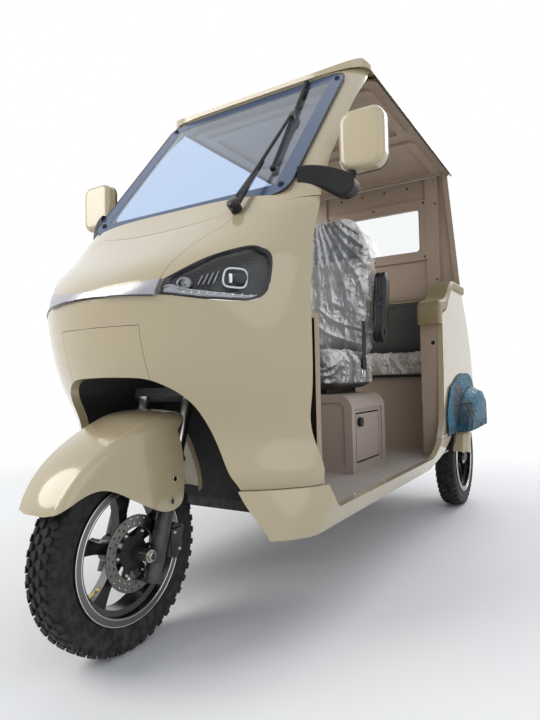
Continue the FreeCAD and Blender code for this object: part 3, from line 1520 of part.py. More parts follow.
pod_low = bar_mid + Vector(0, -size.pod_depth / 2, size.pod_depth)
bar_pieces.append(rod(bar_mid, pod_low - pod_out * size.touch_gap, 0.7 * size.bar_radius))
handlebar = joined(bar_pieces)
socket = rod(on_axis(size.head_tube_high_reach), stem_top, size.stem_radius + size.touch_gap)
pod_room = rod(pod_low - pod_out * size.touch_gap, pod_low + pod_out * 2 * size.pod_depth,
               size.pod_radius + size.touch_gap)
keep_shape("handlebar", largest(handlebar.cut(socket).cut(pod_room)))
grip = rod(grip_root, bar_end + bar_out * size.bar_radius, size.grip_radius)
grip = grip.cut(rod(grip_root - bar_out * size.overrun, bar_end + bar_out * size.touch_gap,
                    size.bar_radius + size.touch_gap))
keep_shape("bar_grips", both_sides(grip))
keep(bound_cylinder("Instrument_pod", "pod_radius", "pod_depth", pod_low, pod_out),
     "instrument_pod")

# Front fender. Each row: angle about the wheel from the rear, crown radius and half width
# as shares of the tyre radius.
fender_wide_shares = [(150, 1.155, 0.328), (138, 1.193, 0.349), (126, 1.214, 0.370),
                      (113, 1.239, 0.389), (101, 1.282, 0.408), (89, 1.361, 0.428),
                      (78, 1.458, 0.441), (72, 1.504, 0.441), (66, 1.529, 0.441)]
fender_rear_shares = [(80, 1.440, 0.231), (72, 1.504, 0.231), (65, 1.520, 0.231),
                      (58, 1.492, 0.231), (52, 1.462, 0.231), (45, 1.408, 0.231),
                      (38, 1.357, 0.231), (30, 1.311, 0.231), (23, 1.239, 0.231)]
fender_edge_shares = [(0.525, 1.408), (0.471, 1.261), (0.420, 1.210)]
fender_flap_shares = [(0.420, 1.210), (0.496, 0.987), (0.521, 0.769), (0.513, 0.550),
                      (0.471, 0.433), (0.374, 0.387), (0.193, 0.395), (0.008, 0.475),
                      (-0.193, 0.588), (-0.420, 0.706), (-0.559, 0.739), (-0.836, 0.672),
                      (-1.050, 0.525)]
fender_wall_low_share = 0.378
fender_skirt_share = 0.060
fender_hole_shares = [(0.345, 0.706), (0.298, 0.483)]
fender_flap_angle = 67
wheel_mid = Vector(0, front_axle_y, axle_z)


def round_wheel(angle, radius, x):
    turn = math.radians(angle)
    return wheel_mid + Vector(x, radius * math.cos(turn), radius * math.sin(turn))


def fender_section(angle, crown, half, low, corner):
    """Channel section of the fender in a plane through the wheel's axis."""
    sheet_wall = size.fender_sheet
    bend = corner * (1 - math.sqrt(0.5))
    edge = crown - size.fender_crown

    def half_outline(inset):
        wide_x, top = half - inset, edge - inset
        turn = bend - inset * (1 - math.sqrt(0.5))
        reach = corner - inset
        return [(wide_x, low), (wide_x, top - reach), (wide_x - turn, top - turn),
                (wide_x - reach, top)], crown - inset

    edges = []
    for inset, flip in ((0, False), (sheet_wall, True)):
        points, middle = half_outline(inset)
        right = [round_wheel(angle, radius, x) for x, radius in points]
        left = [round_wheel(angle, radius, -x) for x, radius in points]
        crown_point = round_wheel(angle, middle, 0)
        run = [Part.makeLine(left[0], left[1]), Part.Arc(*left[1:]).toShape(),
               Part.Arc(left[3], crown_point, right[3]).toShape(),
               Part.Arc(right[3], right[2], right[1]).toShape(),
               Part.makeLine(right[1], right[0])]
        if flip:
            run = [Part.makeLine(right[0], right[1]),
                   Part.Arc(right[1], right[2], right[3]).toShape(),
                   Part.Arc(right[3], crown_point, left[3]).toShape(),
                   Part.Arc(left[3], left[2], left[1]).toShape(),
                   Part.makeLine(left[1], left[0])]
            edges.append(Part.makeLine(outer_end, right[0]))
            run.append(Part.makeLine(left[0], outer_start))
        outer_start, outer_end = (left[0], right[0]) if not flip else (None, None)
        edges += run
    return Part.Wire(edges)


radius = size.tyre_radius
wide_shell = Part.makeLoft([
    fender_section(angle, crown * radius, half * radius, fender_wall_low_share * radius,
                   size.fender_corner_radius)
    for angle, crown, half in fender_wide_shares], True, False)
flap_x = fender_wide_shares[-1][2] * radius - size.touch_gap
flap_trim = [[(front_axle_y + y * radius, axle_z + z * radius) for y, z in part]
             for part in (fender_edge_shares, fender_flap_shares,
                          [fender_flap_shares[-1], (-1.5, 0.525)], [(-1.5, 0.525), (-1.5, 2)],
                          [(-1.5, 2), (0.525, 2)], [(0.525, 2), fender_edge_shares[0]])]
flap_behind = side_prism(polygon([
    (front_axle_y, axle_z),
    (front_axle_y + 2 * radius * math.cos(math.radians(fender_flap_angle)),
     axle_z + 2 * radius * math.sin(math.radians(fender_flap_angle))),
    (front_axle_y + 2 * radius, axle_z)]), -wide, wide)
flap = block(flap_x - size.fender_sheet, flap_x, front_axle_y, front_axle_y + radius,
             axle_z, axle_z + 2 * radius).common(flap_behind)
trimmed = [piece.common(side_prism(flap_trim, -wide, wide))
           for piece in (wide_shell, flap, mirrored(flap))]
rear_shell = Part.makeLoft([
    fender_section(angle, crown * radius - size.fender_sheet / 2, half * radius,
                   crown * radius * (1 - fender_skirt_share) - size.fender_corner_radius / 2,
                   size.fender_corner_radius / 2)
    for angle, crown, half in fender_rear_shares], True, False)
fender = trimmed[0].multiFuse(trimmed[1:] + [rear_shell])
for y, z in fender_hole_shares:
    fender = fender.cut(Part.makeCylinder(
        size.fender_hole_radius, 2 * wide,
        Vector(-wide, front_axle_y + y * radius, axle_z + z * radius), Vector(1, 0, 0)))
keep_shape("front_fender", largest(fender))

# Rear fenders: a rolled lip round each wheel arch.
body_edge = size.body_half_width - size.overrun / 2
flare_out = size.body_half_width + size.fender_flare
flare_bend = size.fender_flare / 4
lip = size.wheel_arch_radius
flare_points = [(body_edge, size.flare_radius), (flare_out - 2 * flare_bend, size.flare_radius),
                (flare_out - flare_bend / 2, size.flare_radius - flare_bend / 2),
                (flare_out, size.flare_radius - 1.5 * flare_bend), (flare_out, lip),
                (flare_out - size.flare_wall, lip),
                (flare_out - size.flare_wall, size.flare_radius - 1.6 * flare_bend),
                (flare_out - flare_bend, size.flare_radius - flare_bend),
                (flare_out - 2.2 * flare_bend, size.flare_radius - size.flare_wall),
                (body_edge, size.flare_radius - size.flare_wall)]


def turned_section(points, start, sweep):
    """Outline in (x, radius) turned about the rear axle, from an angle behind it."""
    corners = [Vector(x, rear_axle_y + reach, axle_z) for x, reach in points]
    face = Part.Face(Part.makePolygon(corners + corners[:1]))
    face.rotate(axle_mid, Vector(1, 0, 0), start)
    return face.revolve(axle_mid, Vector(1, 0, 0), sweep)


flare_start, flare_sweep = 66, 102
skin_form = solid_form(tail_chain, low_share, high_share, -size.touch_gap)
flare = turned_section(flare_points, flare_start, flare_sweep).cut(skin_form)
keep_shape("rear_fenders", both_sides(largest(flare)))

# Film covers tied over the rear fenders.
film_shares = [(0.745, 0.228), (0.743, 0.290), (0.754, 0.330), (0.800, 0.352),
               (0.860, 0.374), (0.940, 0.382), (1.010, 0.366), (1.048, 0.300),
               (1.052, 0.232)]
film = size.cover_sheet
film_face = size.body_half_width + size.cover_gap
film_out = flare_out + size.cover_gap
film_step = size.flare_radius + size.cover_gap
film_rim = 1.7 * size.flare_radius
film_points = [(film_out + film, 0), (film_out + film, size.wheel_arch_radius),
               (film_out - flare_bend + film, film_step + film),
               (film_face + film, film_step + 2 * film + flare_bend),
               (film_face + film, film_rim), (film_face, film_rim),
               (film_face, film_step + film + flare_bend),
               (film_out - flare_bend, film_step), (film_out, size.wheel_arch_radius),
               (film_out, 0)]
film_foot = [film_shares[-1], film_shares[0]]
film_region = side_prism([shares_to_side(film_shares), shares_to_side(film_foot)], 0, 2 * wide)
cover = turned_section(film_points, 0, 180).common(film_region)
keep_shape("fender_covers", both_sides(largest(cover)))

# Driver's seat box: a hollow base with recessed faces, a doorway on its left side.
box_front = behind(size.seat_box_front)
box_rear = box_front + size.seat_box_length
box_low = standing
box_top = box_low + size.seat_box_height


def box_arch(inset, low, front, rear):
    """Seat box outline in the front view: square feet and rounded shoulders."""
    half = size.seat_box_half_width - inset
    top = box_top - inset
    corner = size.seat_box_corner - inset
    turn = corner * (1 - math.sqrt(0.5))
    right = [(half, low), (half, top - corner), (half - turn, top - turn),
             (half - corner, top)]
    place = lambda x, z: Vector(x, front, z)
    edges = [Part.makeLine(place(*right[0]), place(*right[1])),
             Part.Arc(place(*right[1]), place(*right[2]), place(*right[3])).toShape(),
             Part.makeLine(place(*right[3]), place(-right[3][0], right[3][1])),
             Part.Arc(place(-right[3][0], right[3][1]), place(-right[2][0], right[2][1]),
                      place(-right[1][0], right[1][1])).toShape(),
             Part.makeLine(place(-right[1][0], right[1][1]), place(-right[0][0], low)),
             Part.makeLine(place(-right[0][0], low), place(*right[0]))]
    return Part.Face(Part.Wire(edges)).extrude(Vector(0, rear - front, 0))


deep = size.seat_box_wall + size.seat_box_recess
margin = size.seat_box_margin
shell_box = box_arch(0, box_low, box_front, box_rear)
room_box = box_arch(deep, box_low - size.overrun, box_front + deep,
                    box_rear - size.seat_box_wall)
front_recess = box_arch(margin, box_low + margin, box_front - size.overrun,
                        box_front + size.seat_box_recess)
side_top = box_top - size.seat_box_corner
recess_x = size.seat_box_half_width - size.seat_box_recess
side_recess = block(recess_x, size.seat_box_half_width + size.overrun, box_front + margin,
                    box_rear - margin, box_low + margin / 2, side_top)
door_front = box_front + 1.6 * margin
door_rear = box_rear - 1.6 * margin
door_low = box_low + margin
door_high = side_top - margin / 2
doorway = block(recess_x - 2 * deep, size.seat_box_half_width, door_front, door_rear,
                door_low, door_high)
seat_box = shell_box.cut(room_box).cut(front_recess).cut(side_recess)
seat_box = seat_box.cut(mirrored(side_recess)).cut(doorway)
keep_shape("seat_box", largest(seat_box))

hinge_x = recess_x - size.door_sheet / 2
hinge_z = door_low + size.door_gap + size.door_sheet / 2
door_plate = block(recess_x - size.door_sheet, recess_x, door_front + size.door_gap,
                   door_rear - size.door_gap, hinge_z, door_high - size.door_gap)
door_pin = rod(Vector(hinge_x, door_front + size.door_gap, hinge_z),
               Vector(hinge_x, door_rear - size.door_gap, hinge_z), size.door_sheet / 2)
keep_shape("box_door", joined([door_plate, door_pin]))
latch = bound_cylinder("Latch", "latch_radius", "latch_depth",
                       Vector(recess_x + size.touch_gap, door_front + 2 * size.latch_radius,
                              door_high - 2 * size.latch_radius), Vector(1, 0, 0))
keep(latch, "box_latch")
battery = bound_box("Battery", ("2 * battery_half_width", "battery_length", "battery_height"),
                    ("0 - battery_half_width",
                     "tyre_radius - overall_length / 2 + seat_box_front + seat_box_length / 2"
                     " - battery_length / 2", "floor_level + touch_gap"))
keep(battery, "battery_block")

# Seat runners, cushion and back.
runner_low = box_top + size.touch_gap
runners = [block(size.bracket_half_width - size.bracket_rail, size.bracket_half_width,
                 box_front + margin, box_rear - margin, runner_low,
                 runner_low + size.bracket_height)]
runner_tie = block(-size.bracket_half_width, size.bracket_half_width, box_front + 2 * margin,
                   box_front + 3 * margin, runner_low, runner_low + size.bracket_height / 2)
keep_shape("seat_bracket", joined(runners + [mirrored(runners[0]), runner_tie]))


def cushion_body(label, half_width, length, corner, spans, corner_texts):
    """Rounded plan padded upwards, with its top edges rounded."""
    body = new_body(label)
    sketch = new_sketch(body, label.capitalize() + "_plan", "XY_Plane")
    for edge in rounded_edges(half_width, 0, length, corner, lambda x, y: Vector(x, y, 0)):
        ends = [vertex.Point for vertex in edge.Vertexes]
        if (ends[1] - ends[0]).Length < edge.Length - size.touch_gap:
            middle = edge.valueAt((edge.FirstParameter + edge.LastParameter) / 2)
            sketch.addGeometry(Part.Arc(ends[0], middle, ends[1]), False)
        else:
            sketch.addGeometry(Part.LineSegment(*ends), False)
    pad = body.newObject("PartDesign::Pad", label.capitalize() + "_pad")
    pad.Profile = (sketch, [""])
    bind(pad, "Length", spans[0])
    doc.recompute()
    top = pad.Shape.BoundBox.ZMax
    rim = ["Edge%d" % number for number, edge in enumerate(pad.Shape.Edges, start=1)
           if edge.BoundBox.ZMin > top - size.touch_gap]
    fillet = body.newObject("PartDesign::Fillet", label.capitalize() + "_edges")
    fillet.Base = (pad, rim)
    bind(fillet, "Radius", spans[1])
    body.Tip = fillet
    for letter, text in zip("xyz", corner_texts):
        bind(body, "Placement.Base." + letter, text)
    return body


front_text = "tyre_radius - overall_length / 2 + "
cushion_body("seat_cushion", size.cushion_half_width, size.cushion_length,
             size.seat_box_corner, ("cushion_thickness", "cushion_edge_radius"),
             ("0", front_text + "cushion_front",
              "floor_level + seat_box_height + bracket_height + 3 * touch_gap"))
cushion_body("bench_cushion", size.bench_half_width, size.bench_length,
             size.cushion_edge_radius, ("bench_thickness", "cushion_edge_radius * 3 / 4"),
             ("0", front_text + "bench_front", "bench_deck_level + touch_gap"))

# Backs: outline in the front view, extruded backwards and leaned about its foot.
seat_back_shares = [(0.88, 0.00), (0.94, 0.12), (1.00, 0.35), (0.99, 0.55), (0.90, 0.76),
                    (0.76, 0.90), (0.63, 0.97), (0.42, 1.00)]
back_low = box_top + size.bracket_height + size.cushion_thickness + 4 * size.touch_gap
seat_back_foot = Vector(0, behind(size.seat_back_front), back_low)


def leaned(shape, foot, lean):
    turned_shape = shape.copy()
    turned_shape.rotate(foot, Vector(1, 0, 0), -lean)
    return turned_shape


right_side = [(x * size.cushion_half_width, back_low + z * size.seat_back_height)
              for x, z in seat_back_shares]
left_side = [(-x, z) for x, z in reversed(right_side)]
seat_back = front_prism([right_side, [right_side[-1], left_side[0]], left_side,
                         [left_side[-1], right_side[0]]],
                        seat_back_foot.y, seat_back_foot.y + size.seat_back_thickness)
seat_back = leaned(seat_back, seat_back_foot, size.seat_back_lean)
lift = size.seat_back_thickness * math.sin(math.radians(size.seat_back_lean))
seat_back.translate(Vector(0, 0, lift))
pivot = Vector(0, behind(size.armrest_pivot_front), size.armrest_pivot_level)
pin_half = size.armrest_offset
armrest_pin = rod(pivot - Vector(pin_half, 0, 0), pivot + Vector(pin_half, 0, 0),
                  size.armrest_pin_radius)
keep_shape("seat_back", joined([seat_back, armrest_pin]))

bench_back_low = size.bench_deck_level + size.bench_thickness + 2 * size.touch_gap
bench_foot = Vector(0, behind(size.bench_back_front), bench_back_low)
bench_back = rounded_prism(size.bench_half_width, bench_back_low,
                           bench_back_low + size.bench_back_height,
                           size.cushion_edge_radius / 2,
                           lambda x, z: Vector(x, bench_foot.y, z),
                           Vector(0, size.bench_back_thickness, 0))
bench_back = leaned(bench_back, bench_foot, size.bench_back_lean)
lift = size.bench_back_thickness * math.sin(math.radians(size.bench_back_lean))
bench_back.translate(Vector(0, 0, lift))
keep_shape("bench_back", bench_back)

# Armrests stand folded up beside the seat back.
rest_wide = size.armrest_depth / 2
rest_top = pivot.z + size.armrest_length - rest_wide
for side_name, side in (("left", 1), ("right", -1)):
    low_x, high_x = sorted((side * (size.armrest_offset - size.armrest_width / 2),
                            side * (size.armrest_offset + size.armrest_width / 2)))
    place = lambda y, z: Vector(low_x, pivot.y + y, z)
    upper = Part.makeCylinder(rest_wide, high_x - low_x, place(0, rest_top), Vector(1, 0, 0))
    lower = Part.makeCylinder(rest_wide, high_x - low_x, place(0, pivot.z), Vector(1, 0, 0))
    middle = block(low_x, high_x, pivot.y - rest_wide, pivot.y + rest_wide, pivot.z, rest_top)
    arm = leaned(joined([upper, lower, middle]), pivot, size.seat_back_lean)
    arm = arm.cut(rod(pivot - Vector(wide, 0, 0), pivot + Vector(wide, 0, 0),
                      size.armrest_pin_radius + size.touch_gap))
    keep_shape("armrest_" + side_name, arm)

# Mirrors: full arms out of the windscreen frame's feet, rounded shells, glass in their
# backs. The arm's outline is in the front view and in plan.
arm_front_shares = [(0.804, 0.704), (0.891, 0.704), (1.000, 0.697), (1.063, 0.687),
                    (1.080, 0.677), (1.072, 0.665), (1.039, 0.657), (0.989, 0.656),
                    (0.935, 0.664), (0.880, 0.670), (0.804, 0.671)]
arm_plan_shares = [(0.804, 0.150), (0.957, 0.170), (1.087, 0.190), (1.087, 0.219),
                   (0.957, 0.198), (0.804, 0.180)]
mirror_mid = Vector(size.mirror_offset, behind(size.mirror_front), size.mirror_level)
arm_high = front_points(arm_front_shares)
arm_plan = [(across(x), along(y)) for x, y in arm_plan_shares]
mirror_arm = front_prism([arm_high, [arm_high[-1], arm_high[0]]], nose_start, middle_y)
mirror_arm = mirror_arm.common(plan_prism(polygon(arm_plan), 0, size.roof_height))
arm_rims = [edge for edge in mirror_arm.Edges
            if edge.BoundBox.XMax > across(arm_front_shares[1][0])
            and edge.BoundBox.XLength > size.overrun]
mirror_arm = mirror_arm.makeFillet(size.mirror_arm_edge, arm_rims)
neck_low = Vector(size.mirror_neck_offset, mirror_mid.y - size.mirror_arm_edge,
                  up(arm_front_shares[4][1]))
neck_high = Vector(size.mirror_neck_offset, mirror_mid.y,
                   size.mirror_level - size.mirror_half_height / 2)
mirror_arm = joined([mirror_arm, rod(neck_low, neck_high, size.mirror_neck_radius)])
frame_form = solid_form(nose_chain, upper_share - lap_share, 0.8, -size.touch_gap)
mirror_shell = rounded_prism(size.mirror_half_width, size.mirror_level
                             - size.mirror_half_height, size.mirror_level
                             + size.mirror_half_height, 0.55 * size.mirror_half_width,
                             lambda x, z: Vector(x + size.mirror_offset, mirror_mid.y
                                                 - size.mirror_depth / 2, z),
                             Vector(0, size.mirror_depth, 0))
front_rim = [edge for edge in mirror_shell.Edges
             if edge.BoundBox.YMax < mirror_mid.y - size.mirror_depth / 2 + size.touch_gap]
mirror_shell = mirror_shell.makeFillet(0.4 * size.mirror_depth, front_rim)
glass_inset = size.mirror_half_width / 10
glass_depth = size.window_glass


def mirror_glass(grow, back):
    return rounded_prism(size.mirror_half_width - glass_inset + grow,
                         size.mirror_level - size.mirror_half_height + glass_inset - grow,
                         size.mirror_level + size.mirror_half_height - glass_inset + grow,
                         0.5 * size.mirror_half_width + grow,
                         lambda x, z: Vector(x + size.mirror_offset, mirror_mid.y
                                             + size.mirror_depth / 2 - back, z),
                         Vector(0, back, 0))


mirror_shell = mirror_shell.cut(mirror_glass(size.touch_gap, glass_depth))
mirror_arm = mirror_arm.cut(frame_form).cut(mirror_shell).cut(
    mirror_glass(size.mirror_half_width, size.mirror_depth / 4))
keep_shape("mirror_arms", both_sides(largest(mirror_arm)))
keep_shape("mirror_shells", both_sides(mirror_shell))
keep_shape("mirror_glasses", both_sides(mirror_glass(0, glass_depth - size.touch_gap)))

# Wiper: boss on the frame below the glass, arm, and a blade along the glass.
wiper_foot_shares = (0.548, 0.621)
wiper_joint_shares = (0.5424, 0.842)
blade_low_shares = (0.615, 0.710)
blade_high_shares = (0.483, 0.950)


def on_glass(shares, off):
    reach = (up(shares[1]) - glass_low.z) / glass_up.z
    return (glass_low + Vector(across(shares[0]), 0, 0) + glass_up * reach
            + glass_out * (size.glass_thickness + off))


blade_off = size.wiper_blade_width / 2 + size.seam_gap
arm_off = blade_off + size.wiper_blade_width / 2 + size.wiper_arm_radius
foot_off = arm_off + size.wiper_boss_height * 2 / 3
boss_high = on_glass(wiper_foot_shares, arm_off + size.wiper_boss_height)
probe = rod(on_glass(wiper_foot_shares, foot_off), boss_high, size.wiper_boss_radius)
drop = min(probe.distToShape(panel)[0] for panel in (windscreen_frame, hood_panel))
drop -= size.touch_gap
boss = rod(on_glass(wiper_foot_shares, foot_off - drop), boss_high, size.wiper_boss_radius)
blade_low, blade_high = on_glass(blade_low_shares, blade_off), on_glass(blade_high_shares,
                                                                       blade_off)
wiper = [boss, rod(on_glass(wiper_foot_shares, foot_off), on_glass(wiper_joint_shares, arm_off),
                   size.wiper_arm_radius),
         rod(on_glass(wiper_joint_shares, blade_off), on_glass(wiper_joint_shares, arm_off),
             1.4 * size.wiper_arm_radius),
         rod(blade_low, blade_high, size.wiper_blade_width / 2)]
keep_shape("wiper", joined(wiper))

doc.recompute()
faults = []
for item in subparts:
    states = [state for state in item.State if state in ("Invalid", "Error")]
    shape = item.Shape
    if states or shape.isNull() or not shape.isValid() or not shape.Solids:
        faults.append("%s %s null %s valid %s" % (item.Label, states, shape.isNull(),
                                                  shape.isValid()))
if faults:
    raise RuntimeError("; ".join(faults))
os.makedirs("parts", exist_ok=True)
for item in subparts:
    item.Shape.exportStep("parts/" + item.Label + ".step")
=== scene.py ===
import math
import random

import bmesh
import bpy
from mathutils import Matrix, Vector, noise
from mathutils.bvhtree import BVHTree


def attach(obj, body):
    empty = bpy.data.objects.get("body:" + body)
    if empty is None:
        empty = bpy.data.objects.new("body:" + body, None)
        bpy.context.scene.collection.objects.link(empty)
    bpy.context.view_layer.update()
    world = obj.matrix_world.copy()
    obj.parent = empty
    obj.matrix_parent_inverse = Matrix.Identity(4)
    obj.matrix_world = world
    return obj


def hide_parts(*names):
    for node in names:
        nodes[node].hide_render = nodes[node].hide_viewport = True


# An electric passenger rickshaw: looks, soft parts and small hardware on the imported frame.
# Metres. The nose points to -Y and the vehicle's left side is +X.

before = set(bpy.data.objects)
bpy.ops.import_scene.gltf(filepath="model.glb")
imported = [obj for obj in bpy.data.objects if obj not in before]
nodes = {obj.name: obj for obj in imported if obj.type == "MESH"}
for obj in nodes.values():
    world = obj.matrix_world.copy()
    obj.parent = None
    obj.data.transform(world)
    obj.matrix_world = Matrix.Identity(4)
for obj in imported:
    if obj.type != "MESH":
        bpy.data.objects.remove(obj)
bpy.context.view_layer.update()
chance = random.Random(7)


def linked(name, data):
    item = bpy.data.objects.new(name, data)
    bpy.context.scene.collection.objects.link(item)
    return item


# Camera, with its turns in degrees
view = {"place": (1.028, -1.913, 0.651), "turn": 31.455, "pitch": 1.956, "roll": -1.323,
        "focal": 27.061, "longSide": 36.0, "clip": 0.02}


def placeCamera():
    turn, pitch, roll = (math.radians(view[key]) for key in ("turn", "pitch", "roll"))
    level = Vector((-math.sin(turn), math.cos(turn), 0))
    right = Vector((math.cos(turn), math.sin(turn), 0))
    rise = Vector((0, 0, 1))
    look = level * math.cos(pitch) + rise * math.sin(pitch)
    above = rise * math.cos(pitch) - level * math.sin(pitch)
    side = right * math.cos(roll) + above * math.sin(roll)
    above = above * math.cos(roll) - right * math.sin(roll)
    data = bpy.data.cameras.new("camera")
    data.lens, data.sensor_width, data.clip_start = view["focal"], view["longSide"], view["clip"]
    camera = linked("camera", data)
    camera.matrix_world = Matrix.Translation(view["place"]) @ Matrix(
        (side, above, -look)).transposed().to_4x4()
    bpy.context.scene.camera = camera


placeCamera()
print("camera placed")


# Shader helpers
def feed(tree, node, feeds):
    for slot, value in feeds:
        if isinstance(value, bpy.types.NodeSocket):
            tree.links.new(value, node.inputs[slot])
        else:
            node.inputs[slot].default_value = value


def put(tree, kind, feeds=(), **settings):
    node = tree.nodes.new("ShaderNode" + kind)
    for key, value in settings.items():
        setattr(node, key, value)
    feed(tree, node, feeds)
    return node


def newGroup(name, inputs, outputs):
    group = bpy.data.node_groups.new(name, "ShaderNodeTree")
    for label, kind, value in inputs:
        socket = group.interface.new_socket(label, in_out="INPUT",
                                            socket_type="NodeSocket" + kind)
        socket.default_value = value
    for label, kind in outputs:
        group.interface.new_socket(label, in_out="OUTPUT", socket_type="NodeSocket" + kind)
    return group, group.nodes.new("NodeGroupInput").outputs, group.nodes.new("NodeGroupOutput")


def maths(tree, operation, first, second=0.0, third=0.0):
    return put(tree, "Math", [(0, first), (1, second), (2, third)],
               operation=operation).outputs[0]


def vectors(tree, operation, *values):
    outputs = put(tree, "VectorMath", enumerate(values), operation=operation).outputs
    return outputs["Value" if operation in ("LENGTH", "DOT_PRODUCT") else 0]


def ranged(tree, value, low, high, start=0.0, end=1.0, kind="LINEAR"):
    return put(tree, "MapRange", [(0, value), (1, low), (2, high), (3, start), (4, end)],
               interpolation_type=kind).outputs[0]


def mixed(tree, share, first, second):
    return put(tree, "Mix", [(0, share), (6, first), (7, second)], data_type="RGBA").outputs[2]


def mixedValue(tree, share, first, second):
    return put(tree, "Mix", [(0, share), (2, first), (3, second)]).outputs[0]


def placeOn(tree):
    return put(tree, "TexCoord").outputs["Object"]


def axisOf(tree, where, axis):
    return put(tree, "SeparateXYZ", [(0, where)]).outputs[axis]


def cloud(tree, where, scale, detail, output=0):
    return put(tree, "TexNoise", [("Vector", where), ("Scale", scale),
                                  ("Detail", detail)]).outputs[output]


# Age: a broad change of tone, a fine change of gloss, and dust that lies low on the vehicle.
def makeAgeGroup():
    group, given, out = newGroup(
        "surface age",
        [("Base", "Color", (0.5, 0.5, 0.5, 1)), ("Shade", "Color", (0.4, 0.4, 0.4, 1)),
         ("Dust", "Color", (0.35, 0.32, 0.28, 1)), ("Patch Scale", "Float", 3.0),
         ("Patch", "Float", 0.3), ("Low Dust", "Float", 0.2), ("Roughness", "Float", 0.4)],
        [("Color", "Color"), ("Roughness", "Float")])
    where = placeOn(group)
    broad = cloud(group, where, given["Patch Scale"], 4.0)
    fine = cloud(group, where, 45.0, 5.0)
    share = maths(group, "MULTIPLY", ranged(group, broad, 0.35, 0.7), given["Patch"])
    tone = mixed(group, share, given["Base"], given["Shade"])
    low = maths(group, "MULTIPLY", ranged(group, axisOf(group, where, 2), 0.55, 0.02),
                ranged(group, fine, 0.42, 0.62))
    dusty = maths(group, "MULTIPLY", low, given["Low Dust"])
    spread = ranged(group, fine, 0.3, 0.7, -0.04, 0.05)
    rough = maths(group, "ADD", given["Roughness"], spread)
    feed(group, out, [("Color", mixed(group, dusty, tone, given["Dust"])),
                      ("Roughness", maths(group, "MULTIPLY_ADD", dusty, 0.35, rough))])
    return group


# Moulded grain: fine pebbled cells, as on moulded plastic and cover leather.
def makeGrainGroup():
    group, given, out = newGroup(
        "moulded grain", [("Scale", "Float", 600.0), ("Ripple", "Float", 0.3)],
        [("Height", "Float")])
    where = placeOn(group)
    cells = put(group, "TexVoronoi", [("Vector", where), ("Scale", given["Scale"])],
                feature="SMOOTH_F1").outputs[0]
    broad = cloud(group, where, 9.0, 3.0)
    feed(group, out, [("Height", maths(group, "MULTIPLY_ADD", broad, given["Ripple"], cells))])
    return group


# Creases: a net of sharp folds, bent by noise, for thin film.
def makeCreaseGroup():
    group, given, out = newGroup(
        "film creases", [("Scale", "Float", 22.0), ("Sharpness", "Float", 0.12),
                         ("Stretch", "Vector", (1, 1, 1))],
        [("Height", "Float"), ("Mask", "Float")])
    where = vectors(group, "MULTIPLY", placeOn(group), given["Stretch"])
    bend = cloud(group, where, 9.0, 3.0, output=1)
    moved = vectors(group, "MULTIPLY_ADD", bend, (0.09, 0.09, 0.09), where)
    folds = []
    for factor in (1.0, 2.7):
        size = maths(group, "MULTIPLY", given["Scale"], factor)
        edge = put(group, "TexVoronoi", [("Vector", moved), ("Scale", size)],
                   feature="DISTANCE_TO_EDGE").outputs[0]
        folds.append(ranged(group, edge, 0.0, given["Sharpness"], 1.0, 0.0, "SMOOTHSTEP"))
    both = maths(group, "MULTIPLY_ADD", folds[1], 0.45, folds[0])
    feed(group, out, [("Height", both), ("Mask", maths(group, "MINIMUM", both, 1.0))])
    return group


# Brushing: fine lines round the vehicle's cross axis, with a little change of gloss.
def makeBrushGroup():
    group, given, out = newGroup(
        "turned lines", [("Scale", "Float", 900.0), ("Centre", "Vector", (0, 0, 0)),
                         ("Roughness", "Float", 0.3)],
        [("Height", "Float"), ("Roughness", "Float"), ("Radius", "Float")])
    away = vectors(group, "SUBTRACT", placeOn(group), given["Centre"])
    radius = vectors(group, "LENGTH", vectors(group, "MULTIPLY", away, (0, 1, 1)))
    line = put(group, "CombineXYZ", [(0, radius), (1, axisOf(group, away, 0))]).outputs[0]
    lines = cloud(group, line, given["Scale"], 2.0)
    rough = maths(group, "MULTIPLY_ADD", lines, 0.12, given["Roughness"])
    feed(group, out, [("Height", lines), ("Radius", radius), ("Roughness", rough)])
    return group


groups = {"age": makeAgeGroup(), "grain": makeGrainGroup(), "crease": makeCreaseGroup(),
          "brush": makeBrushGroup()}


def useGroup(tree, name, feeds):
    node = tree.nodes.new("ShaderNodeGroup")
    node.node_tree = groups[name]
    feed(tree, node, feeds)
    return node.outputs


def opaque(colour):
    return (*colour, 1.0)


# One look: base and shade colours, gloss, share of patches, low dust, grain scale and depth.
def look(base, shade, rough, patch, dust, grain, **more):
    return dict(base=base, shade=shade, rough=rough, patch=patch, dust=dust, grain=grain, **more)


